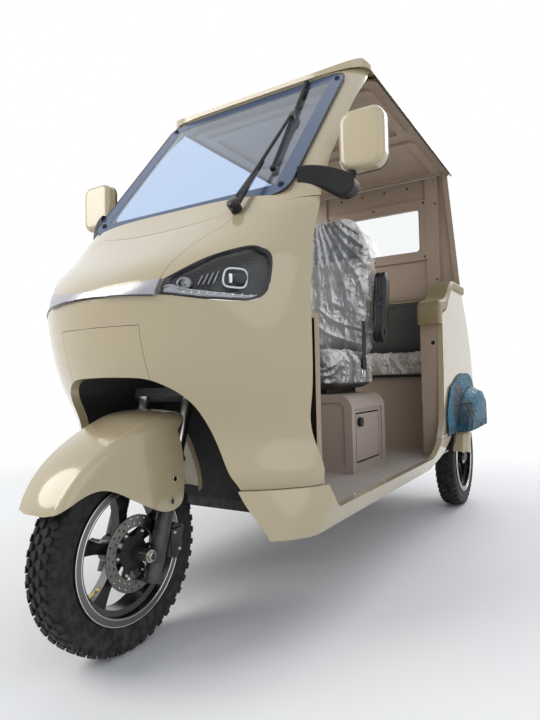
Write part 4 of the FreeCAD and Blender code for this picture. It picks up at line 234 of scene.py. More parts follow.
finishes = {
    "creamGelcoat": look((0.455, 0.378, 0.236), (0.415, 0.343, 0.208), 0.20, 0.5, 0.10,
                         (70, 0.00012), coat=0.85),
    "capMoulding": look((0.270, 0.205, 0.098), (0.230, 0.175, 0.082), 0.42, 0.5, 0.05,
                        (900, 0.00010)),
    "beigeLiner": look((0.390, 0.292, 0.212), (0.350, 0.262, 0.190), 0.48, 0.6, 0.12,
                       (850, 0.00012)),
    "boxMoulding": look((0.380, 0.305, 0.255), (0.335, 0.268, 0.222), 0.42, 0.6, 0.15,
                        (850, 0.00012)),
    "floorMat": look((0.400, 0.360, 0.325), (0.345, 0.310, 0.280), 0.62, 0.8, 0.25,
                     (420, 0.00022)),
    "blackMoulding": look((0.014, 0.014, 0.015), (0.024, 0.023, 0.022), 0.46, 0.6, 0.08,
                          (800, 0.00012), spec=0.22),
    "blackGloss": look((0.007, 0.007, 0.008), (0.012, 0.012, 0.012), 0.16, 0.4, 0.04,
                       (60, 0.00006), spec=0.35, coat=0.2),
    "framePaint": look((0.016, 0.016, 0.017), (0.034, 0.030, 0.026), 0.38, 0.7, 0.20,
                       (120, 0.00020), spec=0.25),
    "darkLeg": look((0.028, 0.027, 0.026), (0.045, 0.042, 0.040), 0.33, 0.7, 0.15,
                    (160, 0.00010), metal=0.3),
    "brightSteel": look((0.62, 0.62, 0.63), (0.52, 0.51, 0.50), 0.22, 0.6, 0.10,
                        (300, 0.00004), metal=1.0),
    "zincBolt": look((0.55, 0.54, 0.50), (0.42, 0.40, 0.36), 0.34, 0.8, 0.10,
                     (500, 0.00005), metal=1.0),
    "brassFitting": look((0.62, 0.48, 0.20), (0.50, 0.37, 0.15), 0.30, 0.5, 0.05,
                         (400, 0.00004), metal=1.0),
    "chromeRing": look((0.82, 0.83, 0.84), (0.74, 0.75, 0.76), 0.07, 0.3, 0.0,
                       (60, 0.00002), metal=1.0),
    "tyreRubber": look((0.011, 0.011, 0.012), (0.020, 0.019, 0.018), 0.58, 0.6, 0.10,
                       (700, 0.00012), spec=0.22, patchScale=16.0),
    "softRubber": look((0.013, 0.013, 0.013), (0.022, 0.021, 0.020), 0.55, 0.6, 0.10,
                       (600, 0.00010)),
    "greyLeather": look((0.044, 0.043, 0.040), (0.034, 0.033, 0.031), 0.45, 0.6, 0.0,
                        (520, 0.00022), spec=0.3),
    "blackLeather": look((0.008, 0.008, 0.008), (0.013, 0.012, 0.012), 0.34, 0.4, 0.0,
                         (520, 0.00004), spec=0.35),
    "sandLeather": look((0.400, 0.330, 0.255), (0.335, 0.275, 0.210), 0.44, 0.6, 0.0,
                        (520, 0.00022), sheen=0.15),
    "stoneLeather": look((0.185, 0.165, 0.142), (0.150, 0.134, 0.115), 0.42, 0.6, 0.0,
                         (520, 0.00022), sheen=0.15),
    "beltWebbing": look((0.016, 0.016, 0.017), (0.028, 0.027, 0.027), 0.62, 0.5, 0.0,
                        (700, 0.00025)),
    "redLens": look((0.42, 0.012, 0.010), (0.34, 0.010, 0.008), 0.14, 0.4, 0.05,
                    (160, 0.00030), coat=0.8),
    "lampWhite": look((0.72, 0.73, 0.74), (0.62, 0.63, 0.65), 0.22, 0.4, 0.0,
                      (350, 0.00020), coat=0.5),
    "lampSilver": look((0.34, 0.34, 0.37), (0.27, 0.27, 0.30), 0.26, 0.4, 0.0,
                       (420, 0.00020), coat=0.8, metal=0.4),
    "batteryCase": look((0.05, 0.06, 0.07), (0.04, 0.045, 0.05), 0.45, 0.5, 0.1,
                        (700, 0.00012)),
    "screenPrint": look((0.042, 0.078, 0.165), (0.034, 0.064, 0.140), 0.16, 0.4, 0.0,
                        (60, 0.00002), spec=0.35),
    "discSteel": look((0.235, 0.225, 0.210), (0.160, 0.150, 0.140), 0.30, 0.7, 0.10,
                      (500, 0.00005), metal=1.0),
    "mirrorSilver": look((0.86, 0.87, 0.88), (0.82, 0.83, 0.85), 0.02, 0.2, 0.0,
                         (30, 0.0), metal=1.0),
}
finish = {}


def startMaterial(name):
    finish[name] = bpy.data.materials.new(name)
    finish[name].use_nodes = True
    tree = finish[name].node_tree
    return tree, tree.nodes["Principled BSDF"]


def aged(tree, plain):
    return useGroup(tree, "age", [
        ("Base", opaque(plain["base"])), ("Shade", opaque(plain["shade"])),
        ("Patch Scale", plain.get("patchScale", 3.0)), ("Patch", plain["patch"]),
        ("Low Dust", plain["dust"]), ("Roughness", plain["rough"])])


def bump(tree, height, depth):
    return put(tree, "Bump", [("Height", height), ("Distance", depth),
                              ("Strength", 1.0)]).outputs[0]


for name, plain in finishes.items():
    tree, shader = startMaterial(name)
    age = aged(tree, plain)
    feed(tree, shader, [
        ("Base Color", age["Color"]), ("Roughness", age["Roughness"]),
        ("Metallic", plain.get("metal", 0.0)), ("Specular IOR Level", plain.get("spec", 0.5)),
        ("Coat Weight", plain.get("coat", 0.0)), ("Coat Roughness", 0.05),
        ("Sheen Weight", plain.get("sheen", 0.0))])
    scale, depth = plain["grain"]
    if depth > 0:
        grain = useGroup(tree, "grain", [("Scale", scale), ("Ripple", 0.4)])
        feed(tree, shader, [("Normal", bump(tree, grain["Height"], depth))])


# Wheel finish: black paint, with a bright turned lip outside a given radius.
wheelLook = {"lipRadius": 0.1475, "edge": 0.0012, "bright": (0.185, 0.180, 0.172, 1),
             "paintRough": 0.24, "lipRough": 0.20, "depth": 0.00012}


def wheelFinish(name, centre, hubRadius):
    tree, shader = startMaterial(name)
    lines = useGroup(tree, "brush", [("Centre", centre), ("Roughness", wheelLook["lipRough"])])
    paint = aged(tree, finishes["blackGloss"])
    radius, lipRadius, edge = lines["Radius"], wheelLook["lipRadius"], wheelLook["edge"]
    bright = maths(tree, "MAXIMUM", ranged(tree, radius, lipRadius, lipRadius + edge),
                   ranged(tree, radius, hubRadius + edge, hubRadius))
    height = maths(tree, "MULTIPLY", lines["Height"], bright)
    feed(tree, shader, [
        ("Base Color", mixed(tree, bright, paint["Color"], wheelLook["bright"])),
        ("Metallic", bright),
        ("Roughness", mixedValue(tree, bright, wheelLook["paintRough"], lines["Roughness"])),
        ("Normal", bump(tree, height, wheelLook["depth"]))])


# Two finishes on one part, changed at a place along one axis.
def splitFinish(name, first, second, axis, place, edge=0.0008):
    tree, shader = startMaterial(name)
    looks = [finishes[first], finishes[second]]
    share = ranged(tree, axisOf(tree, placeOn(tree), axis), place - edge, place + edge)
    ages = [aged(tree, plain) for plain in looks]
    coat = ranged(tree, share, 0.0, 1.0, looks[0].get("coat", 0.0), looks[1].get("coat", 0.0))
    grain = useGroup(tree, "grain", [("Scale", 300.0)])
    feed(tree, shader, [
        ("Base Color", mixed(tree, share, ages[0]["Color"], ages[1]["Color"])),
        ("Roughness", mixedValue(tree, share, ages[0]["Roughness"], ages[1]["Roughness"])),
        ("Coat Weight", coat), ("Coat Roughness", 0.05),
        ("Normal", bump(tree, grain["Height"], 0.00008))])


# Clear glass and lens, with a faint smear in the gloss. Its colour is the glass's tint, and on the
# windscreen it is a painted sky reflection.
def glassFinish(name, tintAndPaintedReflection, rough, ior):
    tree, shader = startMaterial(name)
    smear = cloud(tree, placeOn(tree), 6.0, 4.0)
    feed(tree, shader, [
        ("Roughness", ranged(tree, smear, 0.35, 0.75, rough, rough + 0.03)),
        ("Base Color", opaque(tintAndPaintedReflection)), ("Transmission Weight", 1.0), ("IOR", ior)])


# The way given for the film's facets is that of a painted highlight; edge gives a painted
# reflection at grazing view.
filmLook = {"base": (0.88, 0.86, 0.82), "clear": 0.05, "milky": 0.96, "depth": 0.0012,
            "light": (0.50, -0.62, 0.60), "stretch": (1.0, 1.0, 0.42), "sharpness": 0.16,
            "rough": (0.10, 0.26), "veil": (17.0, 0.36, 0.58, 0.22), "edge": (0.35, 0.75)}


# Thin film: facets turned to a fixed way are painted milky white, a painted highlight, and the
# film is painted whiter at grazing view, a painted reflection; the others let the pad show
# through.
def filmFinish(name, scale, dull, bright):
    tree, shader = startMaterial(name)
    height = useGroup(tree, "crease", [("Scale", scale), ("Sharpness", filmLook["sharpness"]),
                                       ("Stretch", filmLook["stretch"])])["Height"]
    where = placeOn(tree)
    folds = bump(tree, height, filmLook["depth"] * 1.6)
    # Painted highlight: facets whose bumped normal points along the given way turn milky white.
    paintedHighlight = ranged(tree, vectors(tree, "DOT_PRODUCT", folds, filmLook["light"]), dull, bright,
                   kind="SMOOTHSTEP")
    blend, weight = filmLook["edge"]
    edge = put(tree, "LayerWeight", [(0, blend)]).outputs["Facing"]
    share = maths(tree, "MAXIMUM", paintedHighlight, maths(tree, "MULTIPLY", edge, weight))
    size, thin, thick, least = filmLook["veil"]
    veil = cloud(tree, vectors(tree, "MULTIPLY", where, filmLook["stretch"]), size, 4.0)
    share = maths(tree, "MULTIPLY", share, ranged(tree, veil, thin, thick, least, 1.0))
    feed(tree, shader, [
        ("Base Color", opaque(filmLook["base"])), ("Specular IOR Level", 0.4),
        ("Alpha", ranged(tree, share, 0.0, 1.0, filmLook["clear"], filmLook["milky"])),
        ("Roughness", ranged(tree, cloud(tree, where, 7.0, 5.0), 0.3, 0.7, *filmLook["rough"])),
        ("Normal", bump(tree, height, filmLook["depth"]))])


# Blue film over the fenders: teal hem, greyer where it lies on the wheel arch, and a painted
# highlight of lighter blue along its creases.
coverLook = {"film": (0.002, 0.110, 0.190), "hem": (0.002, 0.036, 0.072),
             "arch": (0.024, 0.032, 0.044), "fold": (0.05, 0.19, 0.27, 1), "foldHighlightShare": 0.20,
             "hemHeight": 0.425, "middle": (0.0, 0.640, 0.505), "archRadius": 0.105,
             "rough": (0.20, 0.38), "spec": 0.14, "depth": 0.0016}


def coverFinish(name):
    tree, shader = startMaterial(name)
    crease = useGroup(tree, "crease", [("Scale", 34.0), ("Sharpness", 0.20)])
    where = placeOn(tree)
    away = vectors(tree, "SUBTRACT", where, coverLook["middle"])
    radius = vectors(tree, "LENGTH", vectors(tree, "MULTIPLY", away, (0, 1, 1)))
    bend = cloud(tree, where, 14.0, 3.0)
    radius = maths(tree, "MULTIPLY_ADD", ranged(tree, bend, 0.3, 0.7, -1.0, 1.0), 0.012, radius)
    arch = ranged(tree, radius, coverLook["archRadius"] + 0.012, coverLook["archRadius"] - 0.006)
    height = maths(tree, "MULTIPLY_ADD", ranged(tree, bend, 0.3, 0.7, -1.0, 1.0), 0.014,
                   axisOf(tree, where, 2))
    hem = ranged(tree, height, coverLook["hemHeight"] + 0.014, coverLook["hemHeight"] - 0.006)
    tone = mixed(tree, arch, opaque(coverLook["film"]), opaque(coverLook["arch"]))
    tone = mixed(tree, hem, tone, opaque(coverLook["hem"]))
    # Painted highlight: the creases are mixed toward the lighter fold colour.
    shade = ranged(tree, crease["Mask"], 0.0, 1.0, 0.0, coverLook["foldHighlightShare"])
    feed(tree, shader, [
        ("Base Color", mixed(tree, shade, tone, coverLook["fold"])),
        ("Specular IOR Level", coverLook["spec"]),
        ("Roughness", ranged(tree, bend, 0.3, 0.7, *coverLook["rough"])),
        ("Normal", bump(tree, crease["Height"], coverLook["depth"]))])


wheels = {"front": {"centre": Vector((0, -0.962, 0.238)), "body": "front_wheel", "hub": 0.012},
          "rearLeft": {"centre": Vector((0.38, 0.918, 0.238)), "body": "rear_left_wheel",
                       "hub": 0.036},
          "rearRight": {"centre": Vector((-0.38, 0.918, 0.238)), "body": "rear_right_wheel",
                        "hub": 0.036}}
for name, tag in (("wheelFront", "front"), ("wheelLeft", "rearLeft"), ("wheelRight", "rearRight")):
    wheelFinish(name, wheels[tag]["centre"], wheels[tag]["hub"])
splitFinish("mirrorCase", "creamGelcoat", "blackMoulding", 1, -0.549)
splitFinish("backLeather", "stoneLeather", "greyLeather", 2, 1.135)
# The windscreen's strong blue is a painted sky reflection.
glassFinish("screenGlass", (0.47, 0.62, 0.88), 0.01, 1.45)
glassFinish("rearGlass", (0.93, 0.95, 0.96), 0.03, 1.2)
glassFinish("lensClear", (0.94, 0.96, 0.98), 0.01, 1.16)
filmFinish("seatFilm", 16.0, 0.55, 0.94)
filmFinish("benchFilm", 22.0, 0.30, 0.82)
coverFinish("coverBlue")

# CAD nodes that stay as they are, with the finish of each.
nodeFinish = {
    "creamGelcoat": ["nose_fairing", "nose_access_panel", "hood_panel", "windscreen_frame",
                     "roof_panel", "side_sills", "quarter_panels", "rear_panel", "rear_fenders",
                     "front_fender"],
    "capMoulding": ["tub_caps"],
    "beigeLiner": ["roof_lining", "rear_wall", "tub_liner", "dashboard"],
    "boxMoulding": ["seat_box", "box_door"],
    "floorMat": ["floor_pan"],
    "blackMoulding": ["arch_liner", "wiper", "mirror_arms", "instrument_pod", "box_latch"],
    "framePaint": ["chassis_frame", "seat_bracket", "rear_axle", "leaf_springs", "handlebar",
                   "brake_caliper"],
    "darkLeg": ["fork_sliders"],
    "brightSteel": ["fork_tubes", "brake_disc"],
    "softRubber": ["bar_grips"],
    "tyreRubber": ["front_tyre", "rear_tyre_left", "rear_tyre_right"],
    "wheelFront": ["front_rim"], "wheelLeft": ["rear_rim_left"], "wheelRight": ["rear_rim_right"],
    "blackGloss": ["headlamps"], "lampSilver": ["light_strip"], "redLens": ["tail_lamps"],
    "mirrorCase": ["mirror_shells"], "mirrorSilver": ["mirror_glasses"],
    "screenGlass": ["windscreen"], "rearGlass": ["rear_window"],
    "batteryCase": ["battery_block"],
    "greyLeather": ["bench_back", "seat_back", "seat_cushion"],
    "sandLeather": ["bench_cushion"],
    "blackLeather": ["armrest_left", "armrest_right"],
}
for name, members in nodeFinish.items():
    for member in members:
        slots = nodes[member].data.materials
        slots.clear()
        slots.append(finish[name])
print("CAD nodes finished:", sum(len(m) for m in nodeFinish.values()))

# Floor and lights; each lamp has its place, aim, size, power and colour.
studio = {"floor": (0.96, 0.96, 0.96), "floorShade": (0.94, 0.94, 0.94), "floorReach": 30,
          "sky": (0.86, 0.91, 1.0), "skyStrength": 0.56, "near": 1.7, "far": 3.4,
          "lamps": [((-2.6, -3.4, 3.4), (0.0, -0.2, 0.8), 3.4, 128.0, (1.0, 0.97, 0.92)),
                    ((3.6, -2.0, 2.2), (0.2, 0.1, 0.7), 4.2, 32.0, (0.97, 0.98, 1.0)),
                    ((0.8, 3.2, 3.2), (0.0, 0.3, 0.8), 3.0, 66.0, (1.0, 0.98, 0.95))]}
white = (1, 1, 1, 1)


def seenRays(tree):
    path = put(tree, "LightPath").outputs
    return maths(tree, "MAXIMUM", path["Is Camera Ray"],
                 maths(tree, "MAXIMUM", path["Is Glossy Ray"], path["Is Transmission Ray"]))


# The output shows the second shader where share is one.
def blendOut(tree, share, first, second, output):
    blend = put(tree, "MixShader", [(0, share), (1, first.outputs[0]), (2, second.outputs[0])])
    feed(tree, tree.nodes[output], [(0, blend.outputs[0])])


def makeStudio():
    mesh = bpy.data.meshes.new("floor")
    reach = studio["floorReach"]
    mesh.from_pydata([(-reach, -reach, 0), (reach, -reach, 0), (reach, reach, 0),
                      (-reach, reach, 0)], [], [(0, 1, 2, 3)])
    floor = linked("floor", mesh)
    tree, shader = startMaterial("floorPale")
    where = placeOn(tree)
    patch = ranged(tree, cloud(tree, where, 0.7, 3.0), 0.3, 0.7)
    tone = mixed(tree, patch, opaque(studio["floor"]), opaque(studio["floorShade"]))
    feed(tree, shader, [("Base Color", tone), ("Roughness", 0.75)])
    far = ranged(tree, vectors(tree, "LENGTH", where), studio["near"], studio["far"],
                 kind="SMOOTHSTEP")
    plain = put(tree, "Emission", [(0, white), (1, 1.0)])
    blendOut(tree, maths(tree, "MULTIPLY", seenRays(tree), far), shader, plain,
             "Material Output")
    mesh.materials.append(finish["floorPale"])
    world = bpy.data.worlds.new("studio")
    bpy.context.scene.world = world
    world.use_nodes = True
    tree = world.node_tree
    sky = tree.nodes["Background"]
    feed(tree, sky, [(0, opaque(studio["sky"])), (1, studio["skyStrength"])])
    plain = put(tree, "Background", [(0, white), (1, 1.0)])
    blendOut(tree, seenRays(tree), sky, plain, "World Output")
    for number, (place, aim, size, power, colour) in enumerate(studio["lamps"], start=1):
        data = bpy.data.lights.new("softLamp%d" % number, "AREA")
        data.shape, data.size, data.energy, data.color = "DISK", size, power, colour
        lamp = linked("softLamp%d" % number, data)
        lamp.location = place
        lamp.rotation_mode = "QUATERNION"
        lamp.rotation_quaternion = (Vector(aim) - Vector(place)).to_track_quat("-Z", "Y")
    bpy.context.scene.view_settings.view_transform = "Standard"


makeStudio()
print("studio ready")


# Mesh helpers
def pieceOf(name, mesh, material, body, smooth=True):
    for polygon in mesh.polygons:
        polygon.use_smooth = smooth
    mesh.materials.append(finish[material])
    piece = linked(name, mesh)
    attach(piece, body)
    return piece


def meshPiece(name, spots, faces, material, body="chassis", smooth=True):
    mesh = bpy.data.meshes.new(name)
    mesh.from_pydata([tuple(p) for p in spots], [], faces)
    mesh.validate()
    mesh.update()
    return pieceOf(name, mesh, material, body, smooth)


def formPiece(name, form, material, body="chassis"):
    mesh = bpy.data.meshes.new(name)
    form.to_mesh(mesh)
    form.free()
    return pieceOf(name, mesh, material, body)


def turns(steps, shift=0.0):
    return [2 * math.pi * (k + shift) / steps for k in range(steps)]


# Place at a radius and turn about a line along X.
def aboutAxle(centre, x, radius, turn):
    return centre + Vector((x, radius * math.cos(turn), radius * math.sin(turn)))


# Quads between rings of points that follow each other, and the faces that close both ends.
def quads(rings, sides, base=0, loop=False, inward=False):
    faces = []
    for ring in range(rings if loop else rings - 1):
        here, after = base + ring * sides, base + (ring + 1) % rings * sides
        for k in range(sides):
            k2 = (k + 1) % sides
            a, b, c, d = here + k, here + k2, after + k2, after + k
            faces.append((a, d, c, b) if inward else (a, b, c, d))
    return faces


def caps(rings, sides, base=0):
    return [tuple(base + k for k in range(sides))[::-1],
            tuple(base + (rings - 1) * sides + k for k in range(sides))]


def squareTo(axis):
    axis = Vector(axis).normalized()
    first = axis.orthogonal().normalized()
    return axis, first, axis.cross(first)


def ringSpots(place, first, second, radius, sides, flat=1.0):
    return [place + first * radius * math.cos(turn) + second * radius * flat * math.sin(turn)
            for turn in turns(sides)]


def boxy(value, power=0.55):
    return math.copysign(abs(value) ** power, value)


# Tyres: carcass ring with bead lines, and tread blocks in staggered rows. Profiles are
# (distance from the middle, radius); rows are (place, half width, half length, shift).
tyreShape = {"half": [(0.0345, 0.1525), (0.0372, 0.1600), (0.0387, 0.1688), (0.0402, 0.1712),
                      (0.0408, 0.1745), (0.0404, 0.1772), (0.0421, 0.1815), (0.0446, 0.1920),
                      (0.0457, 0.2040), (0.0446, 0.2140), (0.0415, 0.2220), (0.0360, 0.2268),
                      (0.0240, 0.2302), (0.0110, 0.2316), (0.0, 0.2320)],
             "crown": [(0.0, 0.2378), (0.0276, 0.2364), (0.0380, 0.2318), (0.0428, 0.2290),
                       (0.0452, 0.2180)],
             "steps": 132, "pitches": 44, "chamfer": 0.0011, "sunk": 0.0012, "tread": 0.2,
             "reach": 0.0445, "radius": 0.238, "corners": 10, "shoulder": 0.82, "swing": 0.06}
blockRows = {"front": [(0.0098, 0.0068, 0.0112, 0.0), (-0.0098, 0.0068, 0.0112, 0.5),
                       (0.0262, 0.0068, 0.0104, 0.5), (-0.0262, 0.0068, 0.0104, 0.0),
                       (0.0395, 0.0045, 0.0088, 0.0), (-0.0395, 0.0045, 0.0088, 0.5)],
             "rear": [(0.0, 0.0058, 0.0120, 0.0), (0.0165, 0.0070, 0.0110, 0.5),
                      (-0.0165, 0.0070, 0.0110, 0.5), (0.0345, 0.0085, 0.0088, 0.0),
                      (-0.0345, 0.0085, 0.0088, 0.0)]}


def between(table, value):
    for (x0, r0), (x1, r1) in zip(table, table[1:]):
        if value <= x1:
            return r0 + (r1 - r0) * (value - x0) / (x1 - x0)
    return table[-1][1]


def makeTyre(name, node, wheel, rows):
    centre, half, steps = wheel["centre"], tyreShape["half"], tyreShape["steps"]
    profile = half + [(-x, r) for x, r in reversed(half[:-1])]
    spots = [aboutAxle(centre, x, r, turn) for turn in turns(steps) for x, r in profile]
    carcass = quads(steps, len(profile), loop=True, inward=True)
    faces = list(carcass)
    groundTable = sorted((x, r) for x, r in half if r > tyreShape["tread"])
    outline = [(boxy(math.cos(a)), boxy(math.sin(a))) for a in turns(tyreShape["corners"], 0.5)]
    n = len(outline)
    for x0, halfWidth, halfLength, shift in rows:
        for middle in turns(tyreShape["pitches"], shift):
            base = len(spots)
            swing = chance.uniform(-tyreShape["swing"], tyreShape["swing"])
            for level, inset in ((-1, 0.0), (tyreShape["shoulder"], 0.0),
                                 (1, tyreShape["chamfer"])):
                for u, v in outline:
                    x = x0 + u * (halfWidth - inset) + v * halfLength * swing
                    crown = between(tyreShape["crown"], abs(x))
                    ground = between(groundTable, min(abs(x), tyreShape["reach"]))
                    ground -= tyreShape["sunk"]
                    r = ground if level < 0 else ground + (crown - ground) * level
                    turn = middle + v * (halfLength - inset) / tyreShape["radius"]
                    spots.append(aboutAxle(centre, x, r, turn))
            faces += quads(3, n, base) + caps(3, n, base)[1:]
    tyre = meshPiece(name, spots, faces, "tyreRubber", wheel["body"], smooth=False)
    for polygon in tyre.data.polygons[:len(carcass)]:
        polygon.use_smooth = True
    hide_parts(node)


makeTyre("tyreFront", "front_tyre", wheels["front"], blockRows["front"])
makeTyre("tyreRearLeft", "rear_tyre_left", wheels["rearLeft"], blockRows["rear"])
makeTyre("tyreRearRight", "rear_tyre_right", wheels["rearRight"], blockRows["rear"])
print("tyres made")


# Small hardware helpers
def surfaceOf(piece):
    return BVHTree.FromObject(piece, bpy.context.evaluated_depsgraph_get())


def castTo(tree, place, way, reach=3.0):
    return tree.ray_cast(Vector(place), Vector(way).normalized(), reach)[:2]


def frameAlong(points):
    ways = [(b - a).normalized() for a, b in zip(points, points[1:])]
    ways = [ways[0]] + [(a + b).normalized() for a, b in zip(ways, ways[1:])] + [ways[-1]]
    side = ways[0].orthogonal().normalized()
    frames = []
    for way in ways:
        side = (side - way * side.dot(way)).normalized()
        frames.append((side, way.cross(side)))
    return frames


def smoothRun(points, steps=6):
    points = [Vector(p) for p in points]
    ends = [points[0] * 2 - points[1]] + points + [points[-1] * 2 - points[-2]]
    run = []
    for a, b, c, d in zip(ends, ends[1:], ends[2:], ends[3:]):
        for step in range(steps):
            t = step / steps
            run.append(0.5 * (2 * b + (c - a) * t + (2 * a - 5 * b + 4 * c - d) * t ** 2
                              + (3 * b - a - 3 * c + d) * t ** 3))
    return run + [points[-1]]


# Round or flattened tube through points; its radius may change along it.
def tube(name, points, radius, material, body="chassis", sides=12, flat=1.0, closed=False):
    points = [Vector(p) for p in points]
    count = len(points)
    radii = radius if isinstance(radius, list) else [radius] * count
    spots = []
    for point, (first, second), r in zip(points, frameAlong(points), radii):
        spots += ringSpots(point, first, second, r, sides, flat)
    faces = quads(count, sides, loop=closed) + ([] if closed else caps(count, sides))
    return meshPiece(name, spots, faces, material, body)


# Turned form about an axis: profile of (reach along the axis, radius).
def turned(name, place, axis, profile, material, body="chassis", sides=32, smooth=True):
    axis, first, second = squareTo(axis)
    spots = []
    for reach, radius in profile:
        spots += ringSpots(Vector(place) + axis * reach, first, second, radius, sides)
    faces = quads(len(profile), sides) + caps(len(profile), sides)
    piece = meshPiece(name, spots, faces, material, body, smooth)
    for polygon in piece.data.polygons[-2:]:
        polygon.use_smooth = False
    return piece


# Many like screw heads in one piece: each is a low dome with a socket in its top.
headProfile = [(-0.001, 1.0), (0.30, 1.0), (0.75, 0.86), (1.0, 0.58), (1.0, 0.40), (0.45, 0.34)]


def heads(name, spots, material, radius, height, body="chassis", sides=14):
    verts, faces, rings = [], [], len(headProfile)
    for place, outward in spots:
        outward, first, second = squareTo(outward)
        base = len(verts)
        for reach, share in headProfile:
            verts += ringSpots(Vector(place) + outward * reach * height, first, second,
                               radius * share, sides)
        faces += quads(rings, sides, base) + caps(rings, sides, base)[1:]
    return meshPiece(name, verts, faces, material, body)


# Box with softened edges, turned about its own middle.
def softBox(name, middle, spans, material, edge, body="chassis", turn=None):
    form = bmesh.new()
    bmesh.ops.create_cube(form, size=1.0)
    for vert in form.verts:
        vert.co = Vector([a * b for a, b in zip(vert.co, spans)])
    bmesh.ops.bevel(form, geom=form.edges[:], offset=edge, segments=3, profile=0.5,
                    affect="EDGES")
    if turn is not None:
        bmesh.ops.rotate(form, verts=form.verts[:], matrix=turn)
    bmesh.ops.translate(form, verts=form.verts[:], vec=Vector(middle))
    return formPiece(name, form, material, body)


# Ring of a rounded window; an inset larger than the corner slides the corners inward.
def roundedRing(half, low, high, corner, inset=0.0, steps=8):
    ring = []
    r = max(corner - inset, 0.0)
    slide = max(inset - corner, 0.0)
    for x, z, start in ((half - corner, high - corner, 0), (-half + corner, high - corner, 1),
                        (-half + corner, low + corner, 2), (half - corner, low + corner, 3)):
        x, z = x - math.copysign(slide, x), z + (-slide if start < 2 else slide)
        for step in range(steps + 1):
            turn = math.pi / 2 * (start + step / steps)
            ring.append((x + r * math.cos(turn), z + r * math.sin(turn)))
    return ring


# Flat band between two like rings of points, with a thickness along its outward way.
def bandPlate(name, outer, inner, outward, material):
    spots = outer + inner
    spots += [p + outward for p in spots]
    n = len(outer)
    faces = []
    for k in range(n):
        k2 = (k + 1) % n
        faces += [(2 * n + k, 2 * n + k2, 3 * n + k2, 3 * n + k), (k, n + k, n + k2, k2),
                  (k, k2, 2 * n + k2, 2 * n + k), (n + k, 3 * n + k, 3 * n + k2, n + k2)]
    return meshPiece(name, spots, faces, material, smooth=False)


# Number in the names of paired pieces: 1 on the right, 3 on the left.
def numbered(side):
    return side + 2


def onSide(side, place):
    x, y, z = place
    return Vector((side * x, y, z))


# Windscreen: printed border, seal along its edge and round fasteners.
vehicle = {"halfWidth": 0.46, "height": 1.715}  # outlines given as shares follow these
screen = {"low": Vector((0, -0.72512, 1.11904)), "up": Vector((0, 0.63111, 0.77569)),
          "out": Vector((0, -0.77569, 0.63111)), "run": 0.67323, "half": 0.36432,
          "corner": 0.055, "front": 0.0050, "edge": 0.0026, "border": 0.052, "print": 0.0003,
          "seal": (0.0006, -0.0004), "sealRadius": 0.0021, "fastener": (0.0085, 0.006),
          "fasteners": [(0.338, 0.630), (-0.338, 0.630), (0.332, 0.045), (-0.332, 0.045)]}


def onScreen(x, reach, off):
    return (screen["low"] + Vector((x, 0, 0)) + screen["up"] * reach
            + screen["out"] * (screen["front"] + off))


def screenRing(inset, off):
    return [onScreen(x, z, off) for x, z in
            roundedRing(screen["half"], 0.0, screen["run"], screen["corner"], inset)]


bandPlate("screenBorder", screenRing(screen["edge"], 0.0001), screenRing(screen["border"], 0.0001),
          screen["out"] * screen["print"], "screenPrint")
tube("screenSeal", screenRing(*screen["seal"]), screen["sealRadius"], "softRubber", sides=8,
     closed=True)
heads("screenFasteners", [(onScreen(x, z, 0.0004), screen["out"])
                          for x, z in screen["fasteners"]],
      "blackMoulding", *screen["fastener"], sides=20)

# Wiper: clip at its joint, rubber lip on the glass, spine, and a cap on the boss. A strip is
# its width, share of the blade's length, height, place off the glass, edge and finish.
wiper = {"foot": (0.548, 0.621), "joint": (0.5424, 0.842), "low": (0.615, 0.710),
         "high": (0.483, 0.950), "footOff": 0.0362, "jointOff": 0.014,
         "clip": (0.020, 0.046, 0.019), "clipEdge": 0.005,
         "strips": {"Spine": (0.0062, 0.96, 0.0052, 0.0125, 0.0015, "blackMoulding"),
                    "Lip": (0.0022, 0.99, 0.0020, 0.0012, 0.0004, "softRubber")},
         "end": (0.0155, 0.014, 0.0145), "endOff": 0.0078, "endEdge": 0.003,
         "armShares": (0.0, 0.12, 0.30, 0.44), "armRadii": [0.0125, 0.0110, 0.0085, 0.0062],
         "cap": [(0.0, 0.0168), (0.014, 0.0168), (0.0175, 0.0150), (0.0190, 0.0110),
                 (0.0194, 0.004)], "capSunk": 0.004,
         "jet": [(-0.014, 0.006), (0.0035, 0.0062), (0.006, 0.004)], "jetPlace": (0.13, -0.030)}


def wiperSpot(shares, off=0.0):
    reach = (vehicle["height"] * shares[1] - screen["low"].z) / screen["up"].z
    return onScreen(vehicle["halfWidth"] * shares[0], reach, off)


def makeWiper():
    out = screen["out"]
    low, high = wiperSpot(wiper["low"]), wiperSpot(wiper["high"])
    length, along = (high - low).length, (high - low).normalized()
    turn = Matrix((along.cross(out).normalized(), along, out)).transposed()
    joint = wiperSpot(wiper["joint"], wiper["jointOff"])
    softBox("wiperClip", joint, wiper["clip"], "blackGloss", wiper["clipEdge"], turn=turn)
    for part, (width, share, height, off, edge, material) in wiper["strips"].items():
        softBox("wiper" + part, (low + high) / 2 + out * off, (width, length * share, height),
                material, edge, turn=turn)
    for side, end in ((-1, low), (1, high)):
        softBox("wiperEnd%d" % numbered(side), end + out * wiper["endOff"], wiper["end"],
                "blackMoulding", wiper["endEdge"], turn=turn)
    foot = wiperSpot(wiper["foot"], wiper["footOff"])
    arm = [foot.lerp(joint, share) for share in wiper["armShares"]]
    tube("wiperArmCover", arm, wiper["armRadii"], "blackGloss", sides=14, flat=0.75)
    turned("wiperBossCap", foot - out * wiper["capSunk"], out, wiper["cap"], "blackGloss")
    turned("wiperJet", onScreen(*wiper["jetPlace"], 0.0), out, wiper["jet"], "blackMoulding",
           sides=16)


makeWiper()
print("windscreen trimmed")

